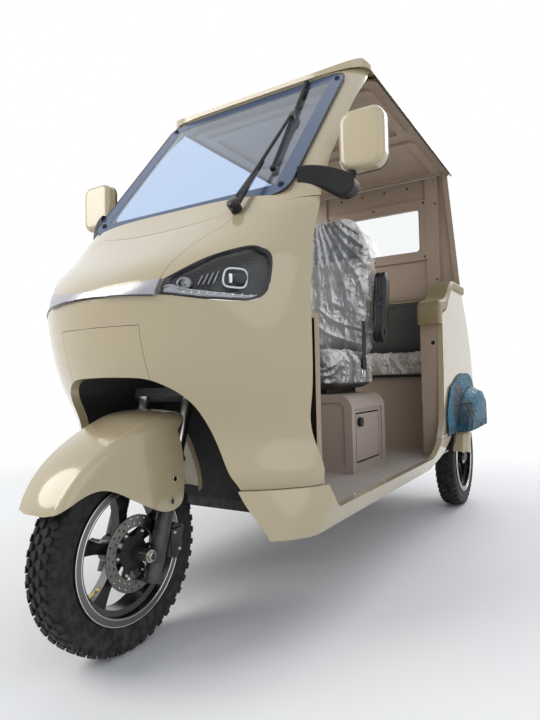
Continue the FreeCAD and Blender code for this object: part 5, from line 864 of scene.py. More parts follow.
# Roof: rubber line under each side edge.
roofEdge = {"x": 0.4090, "z": 1.6650, "front": -0.185, "length": 1.100, "steps": 24,
            "radius": 0.0034}
for side in (-1, 1):
    run = [onSide(side, (roofEdge["x"], roofEdge["front"]
                         + roofEdge["length"] * k / roofEdge["steps"], roofEdge["z"]))
           for k in range(roofEdge["steps"] + 1)]
    tube("roofRubber%d" % numbered(side), run, roofEdge["radius"], "softRubber", sides=8)

# Rear wall: moulded frame round the window, and rows of screws as (depth, heights, places).
wall = {"frame": (0.2900, 1.2450, 1.5640, 0.032), "depth": 0.8866, "width": 0.0385,
        "thick": 0.0022, "screw": (0.0052, 0.0028),
        "rows": [(0.8955, (1.638,), (-0.19, -0.065, 0.06, 0.185)),
                 (0.8844, (1.264, 1.545), (-0.270, 0.0, 0.270)),
                 (0.8818, (1.138, 1.528), (-0.331, 0.331))]}
plates = [[Vector((x, wall["depth"], z)) for x, z in roundedRing(*wall["frame"], inset)]
          for inset in (0.0, wall["width"])]
bandPlate("windowFrame", *plates, Vector((0, -wall["thick"], 0)), "beigeLiner")
heads("wallScrews", [((x, y, z), (0, -1, 0)) for y, heights, places in wall["rows"]
                     for x in places for z in heights], "blackMoulding", *wall["screw"])

# Floor: edging strip beside each door, and rows of screws as (distance from the middle, places).
floorTrim = {"x": 0.4135, "z": 0.3072, "stops": (-0.50, -0.30, -0.10, 0.10, 0.30, 0.585),
             "radius": 0.0055, "flat": 0.35, "top": 0.3061, "screw": (0.0062, 0.0022),
             "rows": [(0.392, (-0.42, -0.18, 0.06, 0.30, 0.54)), (0.13, (-0.36, 0.33, 0.58))]}
for side in (-1, 1):
    strip = [onSide(side, (floorTrim["x"], y, floorTrim["z"])) for y in floorTrim["stops"]]
    tube("floorEdging%d" % numbered(side), strip, floorTrim["radius"], "softRubber", sides=8,
         flat=floorTrim["flat"])
heads("floorScrews", [((side * x, y, floorTrim["top"]), (0, 0, 1)) for x, stops in
                      floorTrim["rows"] for side in (-1, 1) for y in stops],
      "zincBolt", *floorTrim["screw"])
print("roof, wall and floor hardware made")

# Headlamps: clear lens over a black bucket with a lit ring, a light band and a side light.
# The outline is in shares of the vehicle's half width and height; bucket and rim are steps of
# (share of the outline, depth behind the lamp's skin).
lamp = {"outline": [(0.402, 0.493), (0.500, 0.4895), (0.585, 0.486), (0.655, 0.4843),
                    (0.717, 0.483), (0.772, 0.484), (0.813, 0.493), (0.835, 0.514),
                    (0.839, 0.536), (0.826, 0.550), (0.789, 0.559), (0.743, 0.562),
                    (0.672, 0.557), (0.580, 0.546), (0.500, 0.531), (0.417, 0.515)],
        "middle": (0.300, 0.895), "lensShares": (1.0, 0.985, 0.95, 0.86, 0.70, 0.50, 0.28),
        "lensFit": 0.985, "lens": 0.0018, "depth": 0.024,
        "bucket": [(0.988, 0.0), (0.975, 0.0015), (0.955, 0.0028), (0.93, 0.018),
                   (0.86, 0.024), (0.55, 0.024), (0.25, 0.024)],
        "rim": [(0.990, 0.0006), (0.975, -0.0007), (0.935, -0.0007), (0.925, 0.0004)],
        "ring": (0.3235, 0.882, 0.0200, 0.0225), "ringSlant": 0.11,
        "projector": [(-0.004, 0.0185), (0.004, 0.0185), (0.0065, 0.0160), (0.009, 0.0120),
                      (0.0105, 0.0060), (0.0108, 0.002)],
        "reflector": (0.0085, 0.004, 0.022), "side": (0.233, 0.871, 0.0125),
        "bulb": [(-0.006, 1.0), (0.002, 1.0), (0.003, 0.72), (0.0015, 0.45), (0.006, 0.28),
                 (0.007, 0.1)],
        "band": [(0.190, 0.8640), (0.206, 0.8700), (0.226, 0.8610), (0.262, 0.8545),
                 (0.305, 0.8475), (0.345, 0.8415), (0.366, 0.8440)],
        "bandRows": [(0.0, 0.0165), (0.12, 0.0065), (0.5, 0.0045), (0.9, 0.0050),
                     (1.0, 0.0150)],
        "low": 0.8335, "lowIn": (0.262, 0.06, 0.012), "lowOut": (0.345, 0.023, 0.006),
        "drops": {"ring": 0.009, "projector": 0.019, "reflector": 0.0105, "side": 0.0035,
                  "bulb": 0.013, "cell": 0.0042, "fin": 0.015},
        "tubes": {"ring": 0.0024, "side": 0.0020, "fin": 0.0016, "line": 0.0011},
        "cells": 9, "firstCell": 0.236, "cellStep": 0.0145, "cell": (0.0036, 0.0016),
        "fins": 4, "firstFin": 0.2555, "finStep": 0.0095, "finLow": 0.868, "finHigh": 0.889,
        "start": -1.4, "reach": 1.2, "rear": -0.70, "missed": -0.93, "tries": 30}
lampSkin = surfaceOf(nodes["headlamps"])


# Depth of the lamp's skin at a place in the front view, from the nearest place that has any.
def lampSpot(x, z, side, deeper=0.0):
    mx, mz = lamp["middle"]
    for step in range(lamp["tries"]):
        share = 1 - 0.02 * step
        px, pz = mx + (x - mx) * share, mz + (z - mz) * share
        hit = castTo(lampSkin, (side * px, lamp["start"], pz), (0, 1, 0), lamp["reach"])[0]
        if hit is not None and hit.y < lamp["rear"]:
            return Vector((side * x, hit.y + deeper, z))
    return Vector((side * x, lamp["missed"], z))


def lampOutline():
    spots = [Vector((x * vehicle["halfWidth"], z * vehicle["height"], 0))
             for x, z in lamp["outline"]]
    return [(p.x, p.y) for p in smoothRun(spots + [spots[0]], 4)[:-1]]


# Skin through shrinking copies of the outline, closed at the depth given for its middle.
def lampForm(outline, steps, side, middle=None):
    mx, mz = lamp["middle"]
    n = len(outline)
    spots = [lampSpot(mx + (x - mx) * share, mz + (z - mz) * share, side, drop)
             for share, drop in steps for x, z in outline]
    faces = quads(len(steps), n)
    if middle is not None:
        spots.append(lampSpot(mx, mz, side, middle))
        last = (len(steps) - 1) * n
        faces += [(last + k, last + (k + 1) % n, len(spots) - 1) for k in range(n)]
    return spots, faces


def makeLens(outline, side, tag):
    spots, faces = [], []
    for drop in (0.0, lamp["lens"]):
        steps = [(share * lamp["lensFit"], drop) for share in lamp["lensShares"]]
        more, moreFaces = lampForm(outline, steps, side, drop)
        base = len(spots)
        faces += [tuple(base + i for i in reversed(f)) if base else f for f in moreFaces]
        spots += more
    n = len(outline)
    faces += [(k, base + k, base + (k + 1) % n, (k + 1) % n) for k in range(n)]
    meshPiece("lampLens" + tag, spots, faces, "lensClear")


# Lower edge of the light band, which rises toward both of its ends.
def bandLow(x):
    (inner, innerRun, innerRise), (outer, outerRun, outerRise) = lamp["lowIn"], lamp["lowOut"]
    return (lamp["low"] + innerRise * max(0.0, (inner - x) / innerRun)
            + outerRise * max(0.0, (x - outer) / outerRun))


def makeLampBand(side, tag):
    top = smoothRun([Vector((x, z, 0)) for x, z in lamp["band"]], 8)
    rows = [[lampSpot(p.x, p.y + (bandLow(p.x) - p.y) * share, side, drop) for p in top]
            for share, drop in lamp["bandRows"]]
    n = len(top)
    faces = [(r * n + k, r * n + k + 1, (r + 1) * n + k + 1, (r + 1) * n + k)
             for r in range(len(rows) - 1) for k in range(n - 1)]
    meshPiece("lampBand" + tag, [p for row in rows for p in row], faces, "lampSilver")
    tube("lampLine" + tag, [spot + Vector((0, -0.0012, 0)) for spot in rows[1]],
         lamp["tubes"]["line"], "lampWhite", sides=6)


def makeLamp(side, tag):
    outline, drops, tubes = lampOutline(), lamp["drops"], lamp["tubes"]
    makeLens(outline, side, tag)
    spots, faces = lampForm(outline, lamp["bucket"], side, lamp["depth"])
    bucket = meshPiece("lampBucket" + tag, spots, faces, "blackGloss")
    meshPiece("lampRim" + tag, *lampForm(outline, lamp["rim"], side), "blackGloss")
    cx, cz, halfX, halfZ = lamp["ring"]
    ring = []
    for turn in turns(40):
        x = cx + halfX * boxy(math.cos(turn))
        z = cz + halfZ * boxy(math.sin(turn)) - lamp["ringSlant"] * (x - cx)
        ring.append(lampSpot(x, z, side, drops["ring"]))
    tube("lampRing" + tag, ring, tubes["ring"], "lampWhite", sides=8, closed=True)
    turned("lampProjector" + tag, lampSpot(cx + 0.004, cz, side, drops["projector"]),
           (side * 0.45, -1, 0), lamp["projector"], "blackGloss", sides=28)
    softBox("lampReflector" + tag, lampSpot(cx - 0.0075, cz - 0.001, side, drops["reflector"]),
            lamp["reflector"], "chromeRing", 0.0016,
            turn=Matrix.Rotation(math.radians(12 * side), 3, "Z"))
    sx, sz, radius = lamp["side"]
    rim = [lampSpot(sx + radius * math.cos(t), sz + radius * 0.95 * math.sin(t), side,
                    drops["side"]) for t in turns(32)]
    tube("lampSide" + tag, rim, tubes["side"], "lampSilver", sides=8, closed=True)
    turned("lampBulb" + tag, lampSpot(sx, sz, side, drops["bulb"]), (side * 0.2, -1, 0),
           [(reach, radius * share) for reach, share in lamp["bulb"]], "lampSilver", sides=24)
    makeLampBand(side, tag)
    cells = []
    for k in range(lamp["cells"]):
        away = lamp["cellStep"] * k
        cells.append((lampSpot(lamp["firstCell"] + away, 0.8495 - 0.075 * away, side,
                               drops["cell"]), (0, -1, 0)))
    heads("lampCells" + tag, cells, "lampWhite", *lamp["cell"], sides=8)
    for k in range(lamp["fins"]):
        x = lamp["firstFin"] + lamp["finStep"] * k
        a = lampSpot(x, lamp["finLow"], side, drops["fin"])
        b = lampSpot(x + 0.006, lamp["finHigh"] + 0.004 * k, side, drops["fin"])
        tube("lampFin%s%d" % (tag, k), [a, (a + b) / 2, b], tubes["fin"], "lampSilver", sides=6)
    return bucket


lampPieces = [makeLamp(1, "Left"), makeLamp(-1, "Right")]
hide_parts("headlamps")

# Dark line along the middle of the light strip.
strip = {"half": 0.180, "step": 0.015, "count": 25, "height": 0.8490, "drop": 0.0058,
         "proud": 0.0004, "radius": 0.0016}
stripSkin = surfaceOf(nodes["light_strip"])
line = []
for k in range(strip["count"]):
    x = strip["step"] * k - strip["half"]
    z = strip["height"] - strip["drop"] * (x / strip["half"]) ** 2
    hit = castTo(stripSkin, (x, lamp["start"], z), (0, 1, 0), lamp["reach"])[0]
    if hit is not None:
        line.append(hit + Vector((0, strip["proud"], 0)))
tube("stripLine", line, strip["radius"], "blackGloss", sides=6)
print("lamps made")


# A piece's mesh with its modifiers applied.
def settled(piece):
    graph = bpy.context.evaluated_depsgraph_get()
    mesh = bpy.data.meshes.new_from_object(piece.evaluated_get(graph))
    piece.modifiers.clear()
    piece.data = mesh
    return mesh


# Front brake: drilled ring on a black carrier, with bright bolts.
disc = {"inner": 0.0618, "outer": 0.0908, "near": 0.0497, "far": 0.0533, "edge": 0.0005,
        "steps": 128, "rows": ((0.0700, 0.0), (0.0834, 0.5)), "count": 24, "hole": 0.0030,
        "past": 0.01, "carrier": (0.0425, 0.0496), "carrierEdge": 0.0008, "carrierSteps": 96,
        "lobes": 6, "root": 0.041, "lobe": 0.0255, "boltPlace": (0.0494, 0.0535),
        "bolt": (0.0052, 0.0042)}


def drill(piece, rods, radius, sides=14):
    verts, faces = [], []
    for start, end in rods:
        first, second = squareTo(end - start)[1:]
        faces += quads(2, sides, len(verts)) + caps(2, sides, len(verts))
        for point in (start, end):
            verts += ringSpots(point, first, second, radius, sides)
    mesh = bpy.data.meshes.new("drill")
    mesh.from_pydata(verts, [], faces)
    cutter = linked("drill", mesh)
    holes = piece.modifiers.new("holes", "BOOLEAN")
    holes.operation, holes.object, holes.solver = "DIFFERENCE", cutter, "EXACT"
    settled(piece)
    bpy.data.objects.remove(cutter)


def makeDisc(centre):
    near, far, inner, outer = disc["near"], disc["far"], disc["inner"], disc["outer"]
    edge, past = disc["edge"], disc["past"]
    profile = [(near, inner), (near, outer - edge), (near + edge, outer), (far - edge, outer),
               (far, outer - edge), (far, inner)]
    spots = [aboutAxle(centre, x, r, turn) for turn in turns(disc["steps"]) for x, r in profile]
    ring = meshPiece("discRing", spots,
                     quads(disc["steps"], len(profile), loop=True, inward=True), "discSteel",
                     "front_wheel", smooth=False)
    drill(ring, [(aboutAxle(centre, near - past, radius, turn),
                  aboutAxle(centre, far + past, radius, turn))
                 for radius, shift in disc["rows"] for turn in turns(disc["count"], shift)],
          disc["hole"])
    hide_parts("brake_disc")
    low, high = disc["carrier"]
    edge = disc["carrierEdge"]
    spots = []
    for x, cut in ((low, edge), (low + edge, 0.0), (high - edge, 0.0), (high, edge)):
        for turn in turns(disc["carrierSteps"]):
            lobe = max(0.0, math.cos(disc["lobes"] * turn)) ** 0.7
            spots.append(aboutAxle(centre, x, disc["root"] + disc["lobe"] * lobe - cut, turn))
    faces = quads(4, disc["carrierSteps"]) + caps(4, disc["carrierSteps"])
    meshPiece("discCarrier", spots, faces, "blackMoulding", "front_wheel", smooth=False)
    heads("discBolts", [(aboutAxle(centre, *disc["boltPlace"], turn), (1, 0, 0))
                        for turn in turns(disc["lobes"])],
          "zincBolt", *disc["bolt"], body="front_wheel")


makeDisc(wheels["front"]["centre"])

# Wheels: turned edge lines and valves.
rim = {"lines": {"Outer": 0.1662, "Inner": 0.1506}, "x": 0.0441, "radius": 0.0011,
       "lean": math.radians(214), "foot": 0.1335, "footX": 0.016, "valveLean": 0.45,
       "valve": [(-0.004, 0.0052), (0.003, 0.0050), (0.005, 0.0034), (0.020, 0.0033),
                 (0.021, 0.0042), (0.029, 0.0042), (0.031, 0.003)]}
for tag, wheel in wheels.items():
    c, body = wheel["centre"], wheel["body"]
    for name, r in rim["lines"].items():
        for face in (1, -1):
            ring = [aboutAxle(c, face * rim["x"], r, turn) for turn in turns(96)]
            tube("%sRimLine%s%d" % (tag, name, numbered(face)), ring, rim["radius"],
                 "chromeRing", body, sides=6, closed=True)
    side = -1 if c.x < 0 else 1
    foot = aboutAxle(c, side * rim["footX"], rim["foot"], rim["lean"])
    inward = aboutAxle(Vector(), side * rim["valveLean"], -1.0, rim["lean"])
    turned(tag + "Valve", foot, inward, rim["valve"], "brassFitting", body, sides=14)

# Fork: dust seals, axle nuts, brake hose with its fitting, and the caliper's cover.
fork = {"axis": Vector((0, 0.323917, 0.946085)), "foot": (0.080, -0.91706, 0.22261),
        "sealReach": 0.236,
        "seal": [(0.0, 0.0218), (0.001, 0.0232), (0.009, 0.0232), (0.011, 0.0215),
                 (0.014, 0.0185), (0.019, 0.0168), (0.020, 0.0158)],
        "hose": [(0.066, -0.866, 0.286), (0.0665, -0.858, 0.312), (0.060, -0.838, 0.360),
                 (0.052, -0.806, 0.440), (0.050, -0.790, 0.510), (0.050, -0.778, 0.575)],
        "hoseRadius": 0.0032, "fittingPlace": (0.066, -0.868, 0.280),
        "fitting": [(0.0, 0.0062), (0.010, 0.0062), (0.012, 0.0046), (0.022, 0.0046)],
        "cover": ((0.0935, -0.860, 0.249), (0.006, 0.040, 0.062)), "coverEdge": 0.0025,
        "bolts": [(0.0966, -0.869, 0.270), (0.0966, -0.853, 0.226)], "bolt": (0.0050, 0.0032)}
# Place on the left side, profile, number of sides and body of each nut.
nuts = {"forkNut": ((0.1015, -0.962, 0.238), [(0.0, 0.0150), (0.0022, 0.0150)], 28, "steering"),
        "forkHex": ((0.1037, -0.962, 0.238),
                    [(0.0, 0.0115), (0.0075, 0.0115), (0.0085, 0.0100)], 6, "steering"),
        "hubHex": ((0.4225, 0.918, 0.238),
                   [(0.0, 0.0200), (0.008, 0.0200), (0.0092, 0.0180)], 6, "chassis")}
for side in (-1, 1):
    turned("dustSeal%d" % numbered(side), onSide(side, fork["foot"])
           + fork["axis"] * fork["sealReach"], fork["axis"], fork["seal"], "softRubber",
           "steering", sides=28)
    for name, (place, profile, sides, body) in nuts.items():
        turned(name + str(numbered(side)), onSide(side, place), (side, 0, 0), profile,
               "zincBolt", body, sides, smooth=False)
tube("brakeHose", smoothRun(fork["hose"]), fork["hoseRadius"], "softRubber", "steering",
     sides=10)
turned("hoseFitting", fork["fittingPlace"], (0, 0.25, 1), fork["fitting"], "zincBolt",
       "steering", sides=12)
softBox("caliperCover", *fork["cover"], "blackGloss", fork["coverEdge"], "steering")
heads("caliperBolts", [(place, (1, 0, 0)) for place in fork["bolts"]], "zincBolt",
      *fork["bolt"], body="steering")

# Front fender: bolt holes with a raised ring, at (y, z) on each side.
fender = {"holes": ((-0.8736, 0.4053), (-0.8849, 0.3518)), "x": 0.3, "drop": 0.011,
          "plug": [(-0.004, 0.0068), (0.0006, 0.0068)], "proud": 0.0006, "ring": 0.0085,
          "ringRadius": 0.0020}
fenderSkin = surfaceOf(nodes["front_fender"])
for side in (-1, 1):
    for k, (y, z) in enumerate(fender["holes"]):
        edge, normal = castTo(fenderSkin, (side * fender["x"], y, z + fender["drop"]),
                              (-side, 0, 0), fender["x"])
        if edge is None:
            continue
        place = edge - Vector((0, 0, fender["drop"]))
        turned("fenderHole%d%d" % (numbered(side), k), place, normal, fender["plug"],
               "blackGloss", "steering", sides=24)
        ring = [aboutAxle(place, side * fender["proud"], fender["ring"], turn)
                for turn in turns(32)]
        tube("fenderRing%d%d" % (numbered(side), k), ring, fender["ringRadius"],
             "creamGelcoat", "steering", sides=8, closed=True)
print("wheels and fork detailed")

# Handlebar: switch housings, ribbed grips, dial face with its bezel.
bar = {"end": (0.1875, -0.5875, 1.0145), "out": (0.978, 0.209, 0.0), "housingBack": 0.042,
       "housing": [(0.0, 0.0150), (0.002, 0.0185), (0.030, 0.0190), (0.033, 0.0165)],
       "ribs": 12, "firstRib": 0.012, "ribStep": 0.0088,
       "rib": [(0.0, 0.0159), (0.0008, 0.0172), (0.0036, 0.0172), (0.0044, 0.0159)],
       "pod": Vector((0, -0.6200, 1.0430)), "podOut": Vector((0, 0.6, 0.8)),
       "bezelReach": 0.0455, "faceReach": 0.0462, "face": [(0.0, 0.0545), (0.0008, 0.0540)],
       "bezel": [(-0.004, 0.0622), (0.001, 0.0632), (0.0045, 0.0605), (0.0045, 0.0555),
                 (0.0012, 0.0540)]}
for side in (-1, 1):
    out = onSide(side, bar["out"]).normalized()
    end = onSide(side, bar["end"])
    turned("switchHousing%d" % numbered(side), end - out * bar["housingBack"], out,
           bar["housing"], "blackMoulding", "steering", sides=24)
    for k in range(bar["ribs"]):
        turned("gripRib%d_%d" % (numbered(side), k),
               end + out * (bar["firstRib"] + bar["ribStep"] * k), out, bar["rib"],
               "softRubber", "steering", sides=20)
turned("podBezel", bar["pod"] + bar["podOut"] * bar["bezelReach"], bar["podOut"], bar["bezel"],
       "blackGloss", "steering", sides=48)
turned("podFace", bar["pod"] + bar["podOut"] * bar["faceReach"], bar["podOut"], bar["face"],
       "batteryCase", "steering", sides=48)
print("handlebar detailed")

# Soft goods: pads swollen by cloth simulation, then covered with thin folded film. A seam gives
# the distance of a place from its line, and far where the seam isn't on that face.
far = 1.0
pads = {
    "seatCushion": {"node": "seat_cushion", "voxel": 0.0075, "share": (1.010, 1.005, 0.975),
                    "cap": 0.010, "fill": 0.8, "material": "greyLeather",
                    "seams": [lambda p: abs(p.z - 0.708),
                              lambda p: abs(abs(p.x) - 0.135) if p.z > 0.70 else far]},
    "seatBack": {"node": "seat_back", "voxel": 0.0080, "share": (1.020, 0.97, 1.015),
                 "cap": 0.012, "fill": 0.75, "material": "backLeather",
                 "seams": [lambda p: abs(p.z - 1.135), lambda p: abs(p.z - 1.035),
                           lambda p: abs(abs(p.x) - 0.150) if p.z < 1.135 else far]},
    "benchCushion": {"node": "bench_cushion", "voxel": 0.0080, "share": (1.004, 1.0, 0.97),
                     "cap": 0.010, "fill": 0.8, "material": "sandLeather",
                     "seams": [lambda p: abs(p.z - 0.722),
                               lambda p: abs(p.x) if p.z > 0.70 else far]},
    "benchBack": {"node": "bench_back", "voxel": 0.0080, "share": (1.005, 0.96, 1.01),
                  "cap": 0.009, "fill": 0.8, "material": "greyLeather",
                  "seams": [lambda p: abs(p.x) if p.y < 0.83 else far,
                            lambda p: abs(p.z - 1.008) if p.y < 0.83 else far]},
}
for tag in ("Left", "Right"):
    pads["armrest" + tag] = {"node": "armrest_" + tag.lower(), "body": "armrest_" + tag.lower(),
                             "voxel": 0.0045, "share": (0.96, 0.97, 0.985), "cap": 0.005,
                             "fill": 0.9, "material": "blackLeather",
                             "seams": [lambda p: abs(abs(p.x) - 0.279)]}
foam = {"pressure": 4.0, "frames": 20, "quality": 4, "stiffness": 12, "bending": 0.6}
stitch = {"width": 0.0045, "depth": 0.0030}


def worldMesh(node, share=(1, 1, 1)):
    source = nodes[node]
    spots = [source.matrix_world @ vert.co for vert in source.data.vertices]
    low = [min(p[i] for p in spots) for i in range(3)]
    high = [max(p[i] for p in spots) for i in range(3)]
    middle = Vector([(a + b) / 2 for a, b in zip(low, high)])
    spots = [middle + Vector([(p[i] - middle[i]) * share[i] for i in range(3)]) for p in spots]
    return spots, [tuple(polygon.vertices) for polygon in source.data.polygons]


def remesh(piece, voxel):
    change = piece.modifiers.new("remesh", "REMESH")
    change.mode, change.voxel_size, change.use_smooth_shade = "VOXEL", voxel, True
    settled(piece)


def swell(piece, cap):
    before = [vert.co.copy() for vert in piece.data.vertices]
    cloth = piece.modifiers.new("cloth", "CLOTH")
    cloth.settings.quality = foam["quality"]
    cloth.settings.use_pressure = True
    cloth.settings.uniform_pressure_force = foam["pressure"]
    cloth.settings.tension_stiffness = foam["stiffness"]
    cloth.settings.compression_stiffness = foam["stiffness"]
    cloth.settings.bending_stiffness = foam["bending"]
    cloth.settings.effector_weights.gravity = 0.0
    cloth.collision_settings.use_collision = False
    cloth.point_cache.frame_start, cloth.point_cache.frame_end = 1, foam["frames"]
    for step in range(1, foam["frames"] + 1):
        bpy.context.scene.frame_set(step)
    mesh = settled(piece)
    for vert, place in zip(mesh.vertices, before):
        move = vert.co - place
        if move.length > cap:
            vert.co = place + move * (cap / move.length)
    bpy.context.scene.frame_set(1)
    mesh.update()


def refine(piece):
    change = piece.modifiers.new("refine", "SUBSURF")
    change.levels = change.render_levels = 1
    settled(piece)


def pressSeams(piece, seams):
    normals = [vert.normal.copy() for vert in piece.data.vertices]
    for vert, normal in zip(piece.data.vertices, normals):
        near = min(seam(vert.co) for seam in seams)
        if near < stitch["width"] * 2:
            vert.co = vert.co - normal * stitch["depth"] * math.exp(-(near / stitch["width"]) ** 2)
    piece.data.update()


def dressAgain(piece, material):
    for polygon in piece.data.polygons:
        polygon.use_smooth = True
    piece.data.materials.clear()
    piece.data.materials.append(finish[material])


swollen = {}
for name, pad in pads.items():
    spots, faces = worldMesh(pad["node"], pad["share"])
    piece = meshPiece(name, spots, faces, pad["material"], pad.get("body", "chassis"))
    remesh(piece, pad["voxel"])
    swell(piece, pad["cap"])
    swollen[name] = [vert.co.copy() for vert in piece.data.vertices], [
        tuple(polygon.vertices) for polygon in piece.data.polygons]
    refine(piece)
    pressSeams(piece, pad["seams"])
    dressAgain(piece, pad["material"])
    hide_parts(pad["node"])
    print(name, "swollen,", len(piece.data.polygons), "faces")


# Folds of film. Ridges are sharp on top and round between; crumple is a net of small creases.
def ridge(value):
    return (1 - abs(math.sin(value))) ** 2


def eased(value, low, high):
    t = min(1.0, max(0.0, (value - low) / (high - low)))
    return t * t * (3 - 2 * t)


def crumple(p, scale, shift=0.0):
    total = 0.0
    for factor, weight in ((1.0, 0.6), (2.3, 0.4)):
        q = Vector(p) * scale * factor + Vector((shift, shift * 0.7, -shift))
        total += weight * (1 - min(1.0, abs(noise.noise(q)) * 3.2))
    return total


# Height of each kind of fold, and the places on the pads that the folds keep to.
backFolds = {"top": 1.335, "least": 0.0035, "fan": 0.0085, "low": 0.0075, "small": 0.0030,
             "bunch": 0.0060, "puff": 0.012, "puffPlace": (0.215, 1.185),
             "puffSize": (0.05, 0.075)}
cushionFolds = {"least": 0.0030, "long": 0.0042, "small": 0.0085, "skirt": 0.0050, "rim": 0.70}
benchFolds = {"least": 0.0025, "wave": 0.0060, "small": 0.0085}


# The back's film fans out from its top, sweeps outward low down and bunches at the left edge.
def backFold(p):
    below = backFolds["top"] - p.z
    wander = noise.noise(p * 5.0)
    angle = math.atan2(p.x + 0.02, 0.075 + below)
    fan = ridge(angle * 25 + wander * 2.0) * eased(below, 0.0, 0.07) * (
        1 - eased(below, 0.36, 0.48))
    sweep = p.z * 0.80 + abs(p.x - 0.02) * 0.62 - 0.6 * (p.x ** 2)
    low = ridge(sweep * 62 + wander * 2.2) * eased(below, 0.34, 0.44)
    bunch = eased(p.x, 0.10, 0.17) * eased(below, 0.06, 0.14)
    small = crumple(Vector((p.x, p.y, p.z * 0.45)), 26.0)
    (x, z), (wide, tall) = backFolds["puffPlace"], backFolds["puffSize"]
    puff = math.exp(-((p.x - x) / wide) ** 2 - ((p.z - z) / tall) ** 2)
    return (backFolds["least"] + backFolds["fan"] * fan + backFolds["low"] * low
            + (backFolds["small"] + backFolds["bunch"] * bunch) * small
            + backFolds["puff"] * puff)


def cushionFold(p):
    wander = noise.noise(p * 7.0)
    long = ridge(p.x * 34 + p.y * 16 + wander * 2.6)
    skirt = eased(cushionFolds["rim"] - p.z, 0.0, 0.06) * ridge((p.x + p.y) * 40 + wander * 2.0)
    return (cushionFolds["least"] + cushionFolds["long"] * long
            + cushionFolds["small"] * crumple(p, 21.0, 3.1) + cushionFolds["skirt"] * skirt)


def benchFold(p):
    wander = noise.noise(p * 6.0 + Vector((4, 0, 0)))
    wave = ridge(p.x * 21 + p.y * 12 + wander * 3.0)
    return (benchFolds["least"] + benchFolds["wave"] * wave
            + benchFolds["small"] * crumple(p, 19.0, 7.7))


# Each film keeps the faces of its pad that pass its test of place and normal.
films = {
    "backFilm": {"pad": "seatBack", "voxel": 0.0043, "fold": backFold, "material": "seatFilm",
                 "keep": lambda p, n: p.z > 0.742 and (n.y < 0.45 or p.z > 1.30),
                 "flat": (0.72, 0.80)},
    "cushionFilm": {"pad": "seatCushion", "voxel": 0.0043, "fold": cushionFold,
                    "material": "seatFilm", "keep": lambda p, n: n.z > -0.35 and p.z > 0.632,
                    "flat": (0.62, 0.56)},
    "benchFilm": {"pad": "benchCushion", "voxel": 0.0047, "fold": benchFold,
                  "material": "benchFilm", "keep": lambda p, n: n.z > -0.30 and p.z > 0.660
                  and p.y < 0.845, "flat": (0.84, 0.44)},
}


def areaOf(form):
    return sum(face.calc_area() for face in form.faces)


for name, film in films.items():
    piece = meshPiece(name, *swollen[film["pad"]], film["material"])
    remesh(piece, film["voxel"])
    form = bmesh.new()
    form.from_mesh(piece.data)
    bmesh.ops.smooth_vert(form, verts=form.verts[:], factor=0.5, use_axis_x=True,
                          use_axis_y=True, use_axis_z=True)
    form.normal_update()
    gone = [f for f in form.faces if not film["keep"](f.calc_center_median(), f.normal)]
    bmesh.ops.delete(form, geom=gone, context="FACES")
    form.normal_update()
    for vert, lift in [(v, v.normal * film["fold"](v.co)) for v in form.verts]:
        vert.co = vert.co + lift
    form.to_mesh(piece.data)
    print(name, "folded, area %.3f" % areaOf(form), len(form.faces))
    form.free()
    dressAgain(piece, film["material"])

# Blue film over each rear fender: the outer skin of the cover, wrinkled along its length.
cover = {"middle": (0.425, 0.83, 0.40), "grain": 0.0075, "rounds": 9, "most": 60000,
         "flat": (0.44, 0.38), "sunk": 0.004, "least": 0.0016, "wave": 0.0022, "gather": 0.0030,
         "small": 0.0016, "hem": 0.47}


def coverFold(p):
    wander = noise.noise(p * 8.0)
    wave = ridge(p.z * 70 + p.y * 14 + wander * 2.6)
    gather = ridge(p.y * 46 - p.z * 20 + wander * 2.4) * eased(cover["hem"] - p.z, 0.0, 0.06)
    return (cover["least"] + cover["wave"] * wave + cover["gather"] * gather
            + cover["small"] * crumple(p, 30.0, 1.3))


def makeCover(side, tag):
    spots, faces = worldMesh("fender_covers")
    middle = onSide(side, cover["middle"])
    form = bmesh.new()
    verts = [form.verts.new(p) for p in spots]
    for face in faces:
        form.faces.new([verts[k] for k in face])
    form.normal_update()
    gone = [f for f in form.faces if f.calc_center_median().x * side < 0
            or f.normal.dot(f.calc_center_median() - middle) < 0]
    bmesh.ops.delete(form, geom=gone, context="FACES")
    bmesh.ops.triangulate(form, faces=form.faces[:])
    for step in range(cover["rounds"]):
        long = [e for e in form.edges if e.calc_length() > cover["grain"]]
        if not long or len(form.faces) > cover["most"]:
            break
        bmesh.ops.subdivide_edges(form, edges=long, cuts=1)
        bmesh.ops.triangulate(form, faces=[f for f in form.faces if len(f.verts) > 3])
    form.normal_update()
    for vert, normal in [(v, v.normal.copy()) for v in form.verts]:
        vert.co = vert.co + normal * (coverFold(vert.co) - cover["sunk"])
    print("coverFilm" + tag, "area %.3f" % areaOf(form), len(form.faces))
    piece = formPiece("coverFilm" + tag, form, "coverBlue")
    return piece


coverPieces = [makeCover(1, "Left"), makeCover(-1, "Right")]
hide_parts("fender_covers")
print("fender covers wrinkled")

# Seat belt by the armrest: webbing, buckle and a loop of metal.
belt = {"run": [(0.236, 0.093, 0.868), (0.240, 0.084, 0.820), (0.2425, 0.076, 0.765),
                (0.2425, 0.070, 0.722)],
        "thick": 0.0018, "flat": (0.024, 0.150), "across": (0.25, 1, 0),
        "acrossShares": (-0.5, -0.25, 0.0, 0.25, 0.5), "buckle": (0.2425, 0.067, 0.698),
        "buckleSize": (0.013, 0.030, 0.046), "buckleEdge": 0.004, "lean": math.radians(8),
        "loop": (0.2425, 0.062, 0.664), "loopHalf": (0.013, 0.017), "loopRadius": 0.0024}


